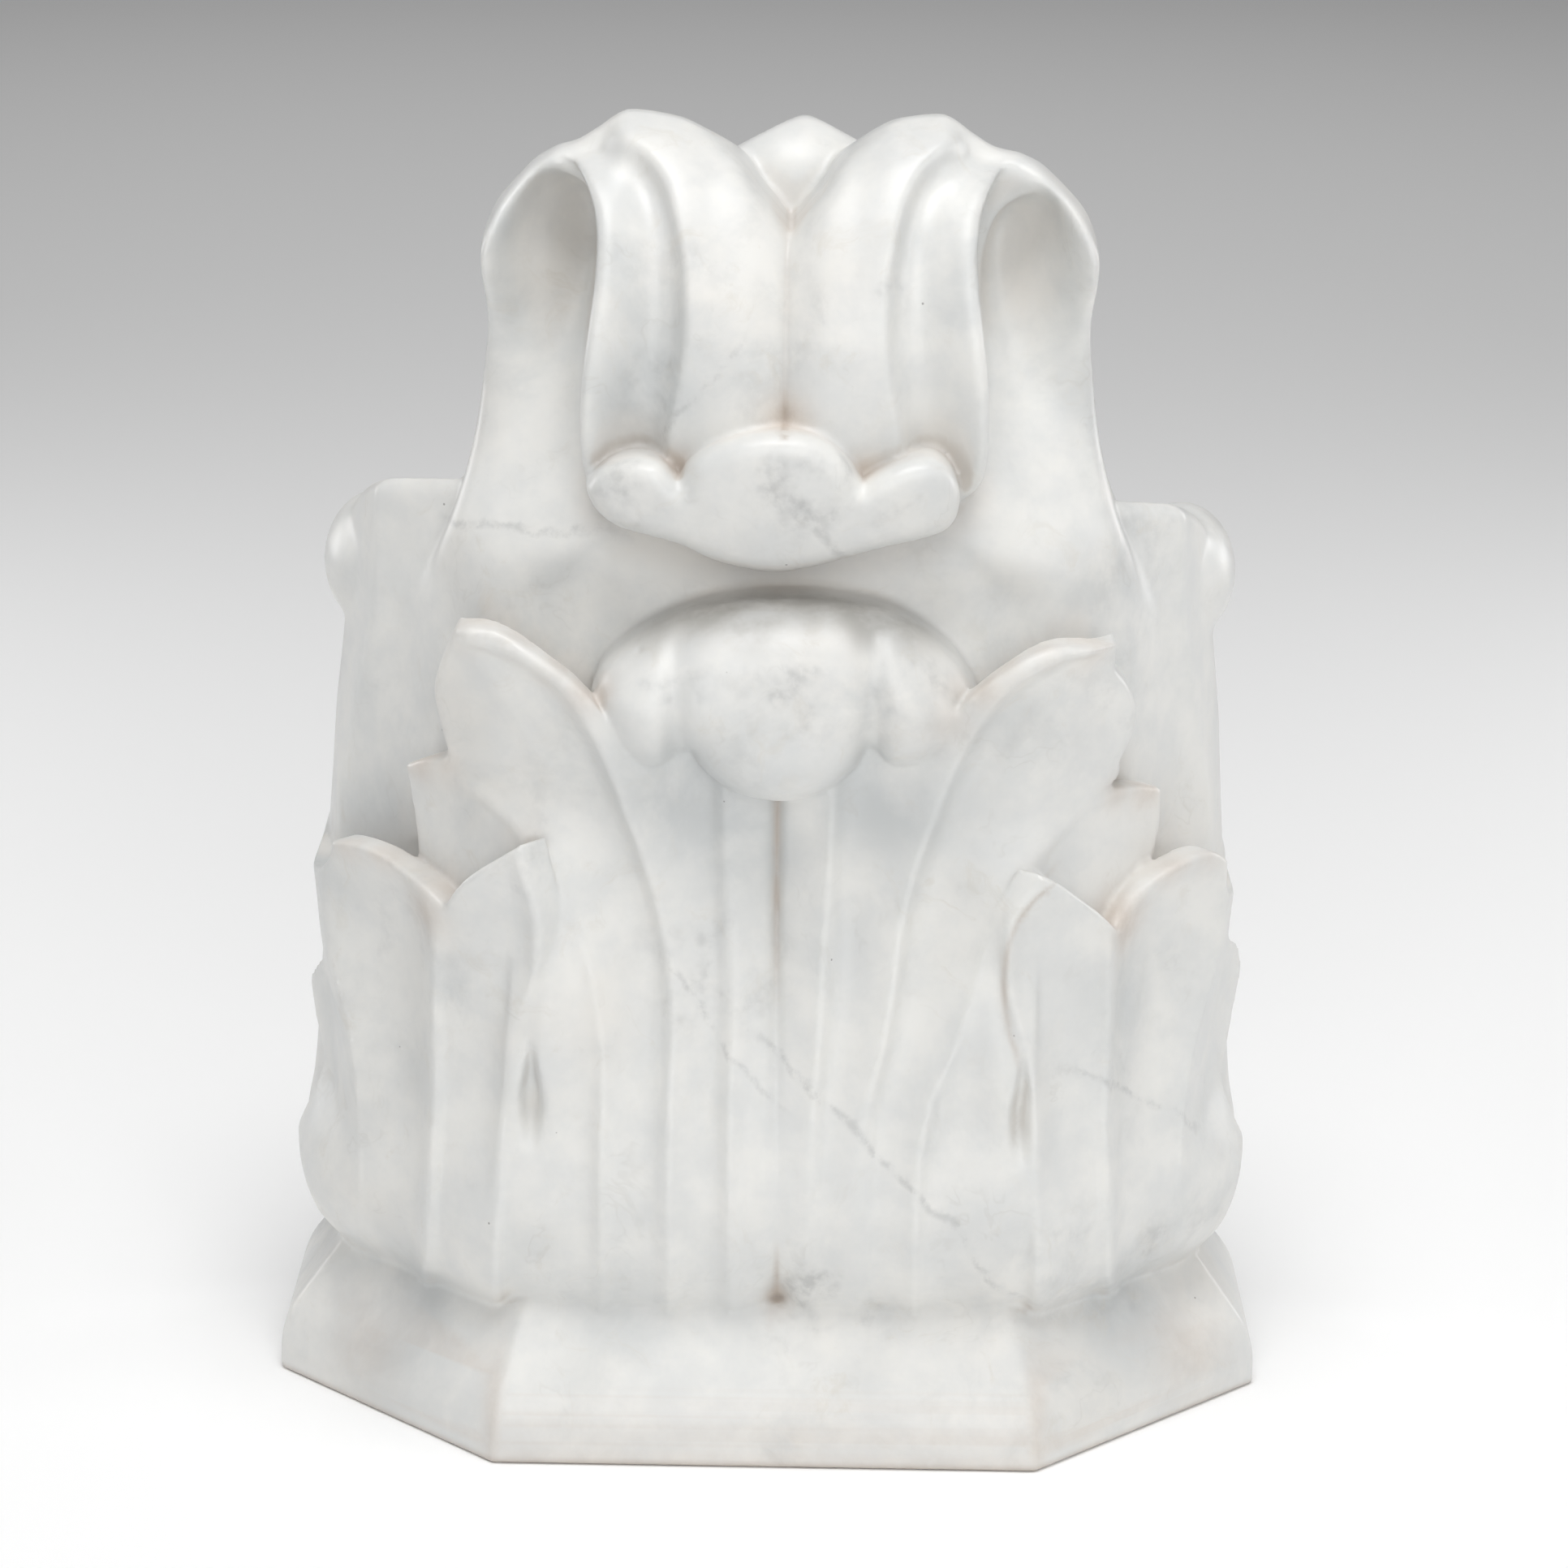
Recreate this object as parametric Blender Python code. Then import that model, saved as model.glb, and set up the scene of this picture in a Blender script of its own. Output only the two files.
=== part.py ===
"""Carved marble corbel: an acanthus leaf in two tiers on its own half-octagonal plinth.

The whole thing is one block of stone. Its back is sawn flat, where it meets the wall.
The carving is described by distance functions, in millimetres: negative inside the stone, zero
on its surface and positive outside. Each leaf, lobe and curl has its own short function, and the
smooth unions between them are the coves that a carver's chisel leaves. The surface is then
gathered on an even grid, thinned by a Decimate modifier, and joined to the sawn plinth.

Coordinates inside the functions: x runs across (right is positive), d runs back from the plinth's
front edge, and z runs up from the underside. The object is placed in metres, with its origin at
the middle of the underside.
"""

import bmesh
import bpy
import numpy as np

MM = 0.001
ROOT2 = 2 ** 0.5

# Plinth, in millimetres
WIDTH = 380.0
DEPTH = 172.0
FRONT_HALF = 101.5          # half the width of the front face, between the two chamfers
FASCIA = 20.0               # height of the upright band
BEVEL_TOP = 56.0            # height at which the sloping bevel runs under the leaves
BEVEL_SLOPE = 53.0          # degrees from level

# Block behind the leaves
SHOULDER_TOP = 352.5        # height of the two side shoulders above their front arris
SHOULDER_TILT = 0.017       # the right shoulder is a little lower than the left
SHOULDER_FALL = 0.25        # slope of their tops, down to the back
SHOULDER_ARRIS = 110.0      # depth of the front arris

# Tall leaf
ARCH_CENTRE = (86.0, 418.0)     # depth and height of the middle of the arch
ARCH_RADII = (59.0, 76.0)
COLUMN_FRONT = 60.0
COLUMN_TOP = 428.0
TALL_FOOT = 225.0
TALL_MIDDLE = 2.5               # the tall leaf stands a little to the right
BUD_MIDDLE = (5.0, 144.0, 467.0)        # below its middle the bud runs straight down into the stem
BUD_RADII = (37.0, 44.0, 25.0)
DROOP_MIDDLE = 1.5              # and so does the valley between its drooping halves

# Meshing
CELL = 3.0                  # grid step in millimetres
TARGET_TRIANGLES = 8600

STONE_COLOUR = (0.80, 0.79, 0.76, 1.0)
STONE_ROUGHNESS = 0.32


# ------------------------------------------------------------------ helpers

def smooth_min(a, b, blend):
    """Union of two distance fields, with a cove of about this radius between them."""
    mix = np.clip(0.5 + 0.5 * (b - a) / blend, 0.0, 1.0)
    return b + (a - b) * mix - blend * mix * (1.0 - mix)


def smooth_max(a, b, blend):
    """Intersection of two distance fields, with the edge between them eased."""
    return -smooth_min(-a, -b, blend)


def by_height(points):
    """A smooth function through (height, value) points, level beyond both ends."""
    heights, values = np.array(points, float).T
    slopes = np.diff(values) / np.diff(heights)
    tangents = np.zeros_like(values)
    steady = slopes[:-1] * slopes[1:] > 0
    tangents[1:-1][steady] = (2 * slopes[:-1] * slopes[1:])[steady] / (slopes[:-1] + slopes[1:])[steady]

    def exact(height):
        height = np.clip(height, heights[0], heights[-1])
        i = np.clip(np.searchsorted(heights, height, side="right") - 1, 0, len(heights) - 2)
        span = heights[i + 1] - heights[i]
        u = (height - heights[i]) / span
        start = (1 + 2 * u) * (1 - u) ** 2 * values[i] + u * (1 - u) ** 2 * span * tangents[i]
        end = u * u * (3 - 2 * u) * values[i + 1] + u * u * (u - 1) * span * tangents[i + 1]
        return start + end

    count = int(2 * (heights[-1] - heights[0])) + 2
    step = (heights[-1] - heights[0]) / (count - 1)
    table = exact(np.linspace(heights[0], heights[-1], count)).astype(np.float32)

    def value(height):
        place = np.clip((height - heights[0]) / step, 0, count - 1.001)
        i = place.astype(np.int32)
        return table[i] + (place - i) * (table[i + 1] - table[i])

    return value


def smooth_arc(points, steps=6):
    """Points of a Catmull-Rom curve through the given ones."""
    points = np.array(points, float)
    if len(points) == 2:
        return points
    padded = np.vstack([2 * points[0] - points[1], points, 2 * points[-1] - points[-2]])
    arc = []
    for before, start, end, after in zip(padded, padded[1:], padded[2:], padded[3:]):
        for s in np.arange(steps) / steps:
            arc.append(0.5 * (2 * start + (end - before) * s
                              + (2 * before - 5 * start + 4 * end - after) * s ** 2
                              + (3 * start - before - 3 * end + after) * s ** 3))
    arc.append(points[-1])
    return np.array(arc)


def outline(*arcs):
    """A closed outline in x and z: smooth along each arc, with a corner where two arcs meet."""
    return np.vstack([smooth_arc(arc)[:-1] for arc in arcs])


def from_outline(x, z, ring):
    """Signed distance to a closed outline, negative inside it."""
    nearest = np.full(np.broadcast(x, z).shape, np.inf)
    inside = np.zeros(nearest.shape, bool)
    for (ax, az), (bx, bz) in zip(ring, np.roll(ring, -1, axis=0)):
        run, rise = bx - ax, bz - az
        along = np.clip(((x - ax) * run + (z - az) * rise) / (run * run + rise * rise), 0, 1)
        nearest = np.minimum(nearest, (x - ax - along * run) ** 2 + (z - az - along * rise) ** 2)
        if rise:
            inside ^= ((az > z) != (bz > z)) & (x < run * (z - az) / rise + ax)
    return np.where(inside, -1.0, 1.0) * np.sqrt(nearest)


class Relief:
    """A function of x and z kept as a table, which is quick to read at many points."""

    def __init__(self, function, low=(-204.0, 0.0), high=(204.0, 520.0), step=0.6):
        self.low, self.step = low, step
        x, z = (np.arange(a, b + step, step) for a, b in zip(low, high))
        self.table = np.ascontiguousarray(np.broadcast_to(function(x[:, None], z[None, :]), (len(x), len(z))),
                                          np.float32)

    def __call__(self, x, z):
        i, j = (np.clip((value - low) / self.step, 0, size - 1.001)
                for value, low, size in zip((x, z), self.low, self.table.shape))
        i, j = np.broadcast_arrays(i, j)
        row, column = i.astype(np.int32), j.astype(np.int32)
        u, v = i - row, j - column
        corner = row * self.table.shape[1] + column
        near, far = (self.table.ravel()[corner + k] for k in (0, self.table.shape[1]))
        near_up, far_up = (self.table.ravel()[corner + 1 + k] for k in (0, self.table.shape[1]))
        return (near * (1 - v) + near_up * v) * (1 - u) + (far * (1 - v) + far_up * v) * u


def stencil(ring, margin=26.0, step=0.5):
    """The signed distance to a closed outline, as a table round it."""
    low, high = ring.min(axis=0) - margin, ring.max(axis=0) + margin
    return Relief(lambda x, z: from_outline(x, z, ring), low, high, step)


def ellipsoid(x, d, z, centre, radii):
    """Close to the signed distance to an ellipsoid."""
    p = [(q - c) / r for q, c, r in zip((x, d, z), centre, radii)]
    reach = np.sqrt(sum(q * q for q in p))
    slope = np.sqrt(sum((q / r) ** 2 for q, r in zip(p, radii))) + 1e-9
    return reach * (reach - 1.0) / slope


def pillow(distance, radius):
    """How far a face falls back as it rounds over towards its outline."""
    u = np.clip(1 + distance / radius, 0, 1)
    return radius * (1 - np.sqrt(1 - u * u))


def soft_step(value, wall):
    """0 well below zero, rising to 1 within a few walls above it, with a rounded start."""
    return 1 - np.exp(-0.5 * (value + np.sqrt(value * value + 4)) / wall)


def from_line(across, z, line):
    """Distance to the outer side of a line that is given as a function of height."""
    lean = (line(z + 1) - line(z - 1)) / 2
    return (across - line(z)) / np.sqrt(1 + lean * lean)


def flute(across, z, inner, outer, wall=3.5):
    """A hollow band: it drops quickly beside its inner line and rises gently to its outer line."""
    rise = (outer(z) - across) / np.maximum(outer(z) - inner(z), 4)
    return soft_step(from_line(across, z, inner), wall) * np.clip(rise, 0, 1)


def crease(away, reach):
    """A sharp valley between two rounded ribs, 1 deep in its middle."""
    return np.exp(-np.sqrt(away * away + 0.6) / reach)


def ramp(value, low, high):
    """0 below low, 1 above high, and smooth between."""
    u = np.clip((value - low) / (high - low), 0, 1)
    return u * u * (3 - 2 * u)


def octagon_faces(x, d, blend):
    """Distance to the plinth's front, chamfer and side planes, with eased corners."""
    across = np.sqrt(x * x + 1.0)
    chamfer = (across - d - FRONT_HALF) / ROOT2
    return smooth_max(smooth_max(-d, chamfer, blend), across - WIDTH / 2, blend)


# ------------------------------------------------------------------ block and shoulders

CORE_CHAMFER_IN = by_height([(40, 30), (60, 30), (90, 32), (200, 38), (300, 41), (350, 42)])
CORE_FRONT_IN = by_height([(40, 34), (90, 34), (200, 44), (330, 50)])
SIDE_IN = by_height([(40, 28), (52, 18), (64, 10), (85, 5), (105, 8), (132, 10), (182, 12.5), (248, 17),
                     (292, 22), (320, 24), (350, 26)])
SIDE_ARRIS = by_height([(221, 168), (260, 161.5), (321, 152.5), (349, 152.5)])
STRIP_LENGTH = 34.0         # depth of the narrow strip between the front arris and the side face


def block(x, d, z):
    """The bell of the corbel up to its shoulders: chamfer facets, narrow strips and side faces."""
    across = np.abs(x)
    side = across - WIDTH / 2 + SIDE_IN(z)
    chamfer_in = CORE_CHAMFER_IN(z)
    arris = SIDE_ARRIS(z)
    arris_d = arris - FRONT_HALF + chamfer_in * ROOT2
    turn = 1 - 0.4 * ramp(z, 240, 320)
    chamfer = (turn * (across - arris) - (d - arris_d)) / np.sqrt(1 + turn * turn)
    slope = (WIDTH / 2 - SIDE_IN(z) - arris) / STRIP_LENGTH
    strip = (across - arris - slope * (d - arris_d)) / np.sqrt(1 + slope * slope)
    front = CORE_FRONT_IN(z) - d
    top = z - (SHOULDER_TOP - SHOULDER_TILT * x) + SHOULDER_FALL * (d - SHOULDER_ARRIS)
    rolled = top + 0.035 * np.maximum(across - 146, 0) ** 2
    flank = smooth_max(smooth_max(side, strip, 3), rolled, 6)
    return smooth_max(smooth_max(smooth_max(front, chamfer, 10), flank, 1.5), top, 12)


def side_curls(x, d, z):
    """The tip of each side leaf, curled outwards under its shoulder and cut through by the back."""
    return ellipsoid(np.abs(x), d, z, (156, 164, 309), (21, 34, 26))


# ------------------------------------------------------------------ tall leaf

TALL_HALF = by_height([(250, 138), (296, 137.5), (315, 134), (330, 129.5), (350, 122), (376, 115.5),
                       (397, 112.5),
                       (419, 110.5), (446, 112), (458, 109.5), (475, 103)])
STEM_MIDDLE = by_height([(230, 44), (300, 46), (330, 52), (345, 58), (370, 69), (400, 77), (430, 80)])
STEM_EDGE = by_height([(250, 50), (300, 50), (315, 42), (330, 30), (345, 20), (360, 17), (376, 14), (400, 7),
                       (420, -4), (440, -20), (455, -24), (470, -20)])
HOLLOW = by_height([(340, -8), (385, 3), (410, 10), (435, 20), (455, 27)])
TOP_LIFT = by_height([(0, -12), (24, -8), (40, -2), (56, 0), (68, -6), (77, -11), (84, -12.5), (92, -14),
                      (100, -16), (114, -19)])
DROOP_HALF = by_height([(336, 20), (345, 45), (352, 62), (361, 69), (372, 72.5), (383, 73.5), (400, 73),
                        (427, 70),
                        (440, 68.5), (452, 68), (462, 69), (470, 72), (477, 78), (484, 90)])
RIB = by_height([(340, 44), (388, 41), (409, 37.5), (425, 36), (444, 36.5), (459, 39), (470, 42.5), (480, 48),
                 (489, 57), (494, 68)])
NOTCH_HALF = by_height([(436, -18), (447, -8), (454, -1), (459, 3), (463, 6), (470, 12), (478, 17), (485, 24),
                        (500, 38)])
NICHE_LEFT = stencil(outline(
    [(-66, 300), (-66, 340), (-68, 400), (-65, 440), (-66, 456), (-72, 468), (-84, 474), (-95, 471),
     (-103, 460), (-106, 444), (-104, 425), (-102, 400), (-104, 370), (-106, 300)],
    [(-106, 300), (-66, 300)]))
NICHE_RIGHT = stencil(outline(
    [(70, 300), (70, 340), (72, 400), (70, 428), (71, 446), (77, 462), (90, 470.5), (101, 469),
     (108, 459), (110.5, 443), (109.5, 420), (108, 400), (109, 370), (111, 300)],
    [(111, 300), (70, 300)]))
DROOP_FLUTE = 24.0


def stem_front(x, z):
    """Depth of the tall leaf's front face."""
    out = np.abs(x - TALL_MIDDLE) / TALL_HALF(z)
    return STEM_MIDDLE(z) + STEM_EDGE(z) * out ** 5


STEM_FRONT = Relief(stem_front, (-150.0, 200.0), (150.0, 505.0), 0.5)


def arch(x, d, z):
    """The wave of the leaf seen from the side, up from the flat back and over to the front."""
    height = z - TOP_LIFT(np.abs(x))
    dome = ellipsoid(0.0, d, height, (0.0, *ARCH_CENTRE), (1.0, *ARCH_RADII))
    column = smooth_max(COLUMN_FRONT - d, height - COLUMN_TOP, 20)
    return smooth_min(dome, column, 16)


def droop(x, d, z, wave):
    """The two ribbed halves of the leaf that hang forward."""
    across = np.abs(x - DROOP_MIDDLE)
    strip = DROOP_FLUTE * flute(across, z, RIB, DROOP_HALF, 8.0) * (1 - ramp(z, 468, 495))
    groove = 4.5 * crease(across, 3.0) + 4.0 * np.exp(-(across / 9.0) ** 2)
    under = 336 + 0.0048 * x * x - z
    hanging = smooth_max(wave + strip + groove, across - DROOP_HALF(z), 8)
    return smooth_max(hanging, under, 8)


def tall_leaf(x, d, z):
    """Stem, side hollows, drooping halves, the notch between them and the bud behind it."""
    wave = arch(x, d, z)
    stem = smooth_max(wave, np.abs(x - TALL_MIDDLE) - TALL_HALF(z), 25)
    front = STEM_FRONT(x, z)
    stem = smooth_max(stem, front - d, 6)
    stem = np.maximum(stem, TALL_FOOT - z)
    niche = np.where(x < 0, NICHE_LEFT(x, z), NICHE_RIGHT(x, z) + 2)
    inward = ramp(112 - np.abs(x - TALL_MIDDLE), 0, 48)
    niche = smooth_max(niche, 0.8 * (d - front - HOLLOW(z) * (0.2 + inward)), 17)
    stem = smooth_max(stem, -niche, 6)
    leaf = smooth_min(stem, droop(x, d, z, wave), 3)
    notch = smooth_max(np.abs(x - 2.5) - NOTCH_HALF(z), d - 128, 6)
    leaf = smooth_max(leaf, -notch, 7)
    peak = 493.0 - 0.55 * np.sqrt((x - 7) ** 2 + 9) - 0.16 * np.maximum(d - 110, 0)
    bud = smooth_max(ellipsoid(x, d, np.maximum(z, BUD_MIDDLE[2]), BUD_MIDDLE, BUD_RADII), z - peak, 4)
    bud = np.maximum(bud, TALL_FOOT - z)
    return smooth_min(leaf, bud, 3)


LIP = stencil(outline(
    [(-70, 365), (-67, 371), (-61, 376), (-52, 378), (-43, 377), (-36, 371)],
    [(-36, 371), (-32, 378), (-24, 384), (-12, 388.5), (1, 390), (13, 388), (23, 381), (30, 371)],
    [(30, 371), (36, 375), (45, 379), (54, 380), (60, 377), (64, 370), (65, 361), (62, 353), (54, 349),
    (37, 345), (24, 341), (11, 337), (-2, 335), (-15, 337), (-25, 340), (-35, 345), (-46, 348),
    (-58, 351), (-66, 357), (-70, 365)]))


def lip(x, d, z):
    """The tip of the tall leaf, turned forward and up in three lobes."""
    shape = LIP(x, z)
    face = 13.0 + 0.0022 * x * x + 16.0 * np.clip((392 - z) / 56.0, 0, 1.2) ** 2
    lean = 0.35 * np.clip(374 - z, 0, 40)
    for notch in (-36 + lean, 30 - lean):
        face = face + 3.0 * np.exp(-((x - notch) / 5.0) ** 2) * ramp(z, 352, 380)
    return smooth_max(shape, np.maximum(face + pillow(shape, 8.0) - d, d - COLUMN_FRONT), 3)


# ------------------------------------------------------------------ lower leaf

BULB = stencil(outline(
    [(-67.5, 291), (-62, 302), (-50, 312), (-34, 320), (-16, 324.5), (2, 326), (20, 325.5), (42, 321),
    (60, 310), (70, 298), (74, 286), (66, 274), (54, 267), (42, 267), (34, 272)],
    [(34, 272), (28, 264), (16, 256), (2, 253), (-14, 256), (-26, 264), (-31, 271)],
    [(-31, 271), (-41, 265), (-52, 267), (-63, 278), (-67.5, 291)]))
UPPER_LEFT = stencil(outline(
    [(-60, 200), (-75, 212), (-80, 222), (-91, 242)],
    [(-91, 242), (-106, 256), (-118, 262), (-123, 276), (-125, 289), (-121, 303), (-115, 317.5)],
    [(-115, 317.5), (-108, 318.5), (-99, 317), (-89, 312), (-79, 305), (-71, 298), (-62, 287), (-50, 270)],
    [(-50, 270), (-40, 200)],
    [(-40, 200), (-60, 200)]))
UPPER_RIGHT = stencil(outline(
    [(62, 195), (73, 205), (84, 219), (97, 231)],
    [(97, 231), (109, 245), (121, 254), (129, 268), (132.5, 280), (129, 292), (123, 301)],
    [(123, 301), (123, 312)],
    [(123, 312), (112, 314), (99, 314.5), (90, 311.5), (83, 307), (76, 301.5), (67, 293), (55, 278)],
    [(55, 278), (40, 200)],
    [(40, 200), (62, 195)]))
BLADE = stencil(outline(
    [(-107, 30), (-105, 90), (-99.5, 130), (-96, 190), (-93, 228), (-95, 239),
    (-104, 246), (-114, 253), (-121, 260), (-112, 268), (-62, 270)],
    [(-62, 270), (-40, 292), (0, 296), (50, 290), (66, 270)],
    [(66, 270), (118, 266), (127, 258), (117, 249), (107, 240), (99, 230), (97, 205), (98, 190),
    (98, 130), (104, 90), (107, 30)],
    [(107, 30), (-107, 30)]))
PAIR_LEFT = stencil(outline(
    [(-102, 30), (-101, 80), (-99, 141), (-97, 160), (-91, 177), (-86.5, 192), (-85, 207),
    (-88, 222), (-92, 240)],
    [(-92, 240), (-100, 234), (-109, 226), (-116, 216), (-122, 202)],
    [(-122, 202), (-127, 208), (-137, 216), (-147, 221), (-157, 222.5), (-167, 221)],
    [(-167, 221), (-172, 208), (-195, 190)],
    [(-195, 190), (-200, 30)],
    [(-200, 30), (-102, 30)]))
PAIR_RIGHT = stencil(outline(
    [(102, 30), (100, 90), (98, 138), (95, 158), (89, 180), (87, 196), (88, 210), (98, 230)],
    [(98, 230), (105, 226), (113, 218), (121, 209), (129, 198)],
    [(129, 198), (135, 209), (146, 219), (158, 223), (166, 222.5), (172, 217)],
    [(172, 217), (175, 200), (195, 185)],
    [(195, 185), (200, 30)],
    [(200, 30), (102, 30)]))
MIDDLE_LEFT = stencil(outline(
    [(-138, 255), (-128, 260.5), (-117, 260), (-104, 252), (-92, 240), (-84, 226)],
    [(-84, 226), (-84, 150)],
    [(-84, 150), (-126, 150), (-134, 228), (-136, 242), (-138, 255)]))
MIDDLE_RIGHT = stencil(outline(
    [(144.5, 248), (134, 252), (122, 252), (109, 246), (97, 232), (88, 216)],
    [(88, 216), (88, 150)],
    [(88, 150), (132, 150), (143, 222), (145, 235), (144.5, 248)]))
SIDE_LOBE_LEFT = stencil(outline(
    [(50, 30), (50, 100), (60, 150), (80, 172)],
    [(80, 172), (95, 170), (110, 161), (124, 149)],
    [(124, 149), (122, 136), (114, 124), (110, 112), (112, 98), (120, 84), (126, 60), (128, 30)],
    [(128, 30), (50, 30)]))
SIDE_LOBE_RIGHT = stencil(outline(
    [(50, 30), (50, 100), (60, 150), (80, 178)],
    [(80, 178), (100, 178), (114, 173), (122, 163)],
    [(122, 163), (124, 146), (120, 130), (112, 116), (112, 102), (120, 88), (126, 60),
    (128, 30)],
    [(128, 30), (50, 30)]))

BLADE_IN = by_height([(30, 38), (45, 30), (55, 23), (65, 17), (80, 12), (100, 9.5), (140, 12), (180, 16),
                      (215, 18.5), (245, 18), (275, 12), (300, 6.5), (318, 3)])
MIDRIB = by_height([(50, 3.5), (160, 2), (255, 1)])
RIB_EDGE = by_height([(40, 4), (250, 4)])
FLUTE_INNER = by_height([(40, 14), (66, 14.5), (175, 17), (252, 20)])
FLUTE_MIDDLE = by_height([(40, 35.6), (120, 36), (160, 39), (200, 43), (230, 50), (247, 56), (262, 61),
                          (277, 67), (290, 74), (298, 80), (305, 88.5), (310, 99), (312.5, 110), (314, 120)])
FLUTE_OUTER = by_height([(40, 59), (99, 58.5), (139, 60.5), (163, 65), (188, 70.5), (205, 76), (215, 80.5),
                         (225, 88), (236, 97), (248, 108), (262, 120), (290, 132), (312, 132)])
SWAY = by_height([(60, -3.5), (110, -3.5), (139, -1.5), (163, 3), (188, 4.5), (215, 3.5), (262, 2)])
PAIR_IN = by_height([(30, 36), (45, 26), (52, 20), (62, 12.5), (75, 8), (90, 6), (120, 7), (150, 8.5),
                     (180, 8), (205, 5.5), (225, 3)])
PAIR_TOP = by_height([(86, 240), (92, 239), (100, 233), (110, 224), (117, 214), (123, 203), (128, 209),
                      (137, 217),
                      (147, 221.5), (158, 223), (167, 221), (175, 208)])
PAIR_RIDGE = by_height([(50, 131), (66, 129.5), (105, 127.5), (138, 126), (170, 126), (200, 125)])
PAIR_OUTER = by_height([(60, 158), (87, 156.5), (112, 157), (142, 160.5), (160, 165), (182, 170), (222, 172)])
PAIR_INNER = by_height([(60, 101), (103, 99.5), (141, 98.5), (159, 97), (176, 91), (191, 87), (210, 87),
                        (235, 93)])
MIDDLE_IN = by_height([(190, 17), (205, 18), (220, 18), (245, 17), (256, 14)])
SIDE_LOBE_IN = by_height([(40, 28), (52, 18), (64, 10), (80, 6), (92, 5), (105, 8.5), (117, 10.5), (130, 7.5),
                          (145, 4.5), (160, 5), (178, 8)])
GROOVE_LEFT = by_height([(150, 96), (159, 95), (176, 89), (191, 83.5), (207, 82), (222, 85), (240, 90)])
GROOVE_RIGHT = by_height([(148, 92), (159, 90.5), (170, 87), (188, 85), (200, 85.5), (210, 88.5), (220, 95),
                          (232, 106)])
EYES = ((-88.0, 141.0), (93.0, 138.0))
EYE_HALF = (4.2, 17.0)
SIDE_STRIP_SLOPE = 0.37
RIM = 2.5                   # how far a lobe's face rounds over at its edge


def scoop(value, inner, outer, lean=0.5):
    """A hollow band from inner to outer, 1 at its deepest; below 0.69 it leans towards inner."""
    t = np.clip((value - inner) / (outer - inner), 0, 1)
    return np.sin(np.pi * t ** lean)


def blade_in(x, z):
    """How far the broad middle blade lies behind the plinth's faces: flutes, midrib and eyes."""
    across = np.abs(x - 1)
    grow = 0.45 + 0.55 * ramp(z, 60, 170)
    foot = 1 - ramp(z, 50, 85)
    depth = BLADE_IN(z) + (3.5 + 8.5 * ramp(z, 100, 200)) * crease(x - MIDRIB(z), 5.0)
    depth = depth + 7.0 * foot * np.exp(-((x - 3.5) / 5.0) ** 2)
    depth = depth + 5.0 * np.exp(-(x / 42.0) ** 2) * ramp(z, 160, 235)
    outside = np.abs(x - SWAY(z))
    inside = np.abs(x - 1 - 0.5 * SWAY(z))
    depth = depth + grow * 4.5 * flute(across, z, RIB_EDGE, FLUTE_INNER, 4.0)
    depth = depth + grow * 11.0 * flute(inside, z, FLUTE_INNER, FLUTE_MIDDLE, 5.0)
    deepest = grow * 14.0 + 3.0 * ramp(z, 230, 285)
    depth = depth + deepest * flute(outside, z, FLUTE_MIDDLE, FLUTE_OUTER, 7.0)
    low = 1 - ramp(z, 125, 175)
    depth = depth + 10.0 * grow * low * flute(outside, z, FLUTE_OUTER, PAIR_INNER, 5.0)
    depth = depth - 4.0 * ramp(across, 70, 86) * ramp(z, 120, 150) * (1 - ramp(z, 200, 238))
    for side, groove, low, width in ((-1, GROOVE_LEFT, 0.5, 4.0), (1, GROOVE_RIGHT, 2.0, 3.0)):
        away = np.abs(np.abs(x) - groove(z))
        cut = low * np.exp(-(away / width) ** 1.5) * ramp(z, 150, 172) * (1 - ramp(z, 226, 238))
        depth = depth + np.where(x * side > 0, cut, 0.0)
    for eye_x, eye_z in EYES:
        half = EYE_HALF[0] * (1 - 0.45 * ramp(z, eye_z - 6, eye_z + EYE_HALF[1]))
        reach = np.sqrt(((x - eye_x) / half) ** 2 + ((z - eye_z) / EYE_HALF[1]) ** 2)
        depth = depth + 6.5 * np.exp(-reach ** 3.2)
    return depth


def pair_in(x, z):
    """The two side lobes on a chamfer: two leaning scoops with an arris between them."""
    across = np.abs(x)
    grow = 0.15 + 0.85 * ramp(z, 60, 150)
    spoon = 1 - np.exp(-np.maximum(PAIR_TOP(across) - z, 0) / 14.0)
    scoops = 20.0 * flute(across, z, PAIR_RIDGE, PAIR_OUTER, 10.0)
    scoops = scoops + 11.0 * flute(across, z, PAIR_INNER, PAIR_RIDGE, 5.0)
    beyond = across - PAIR_OUTER(z)
    away = 0.5 * (beyond + np.sqrt(beyond * beyond + 9))
    return PAIR_IN(z) + grow * spoon * scoops + away * ramp(z, 82, 118)


BLADE_RELIEF = Relief(blade_in, (-136.0, 28.0), (136.0, 330.0), 0.5)
PAIR_RELIEF = Relief(pair_in, (-200.0, 28.0), (200.0, 260.0), 0.5)


def plate(face, depth, x, z, shape, thickness, fall, lean=0.0):
    """A lobe: its outline, leaning inwards as it goes back; behind its thickness its top falls away."""
    behind = -(face + depth)
    dropped = z + fall * np.maximum(behind - thickness, 0.0)
    moved = x + lean * np.sign(x) * np.clip(behind, 0.0, thickness)
    return smooth_max(face + depth, shape(moved, dropped) / np.sqrt(1 + lean * lean), RIM)


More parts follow.
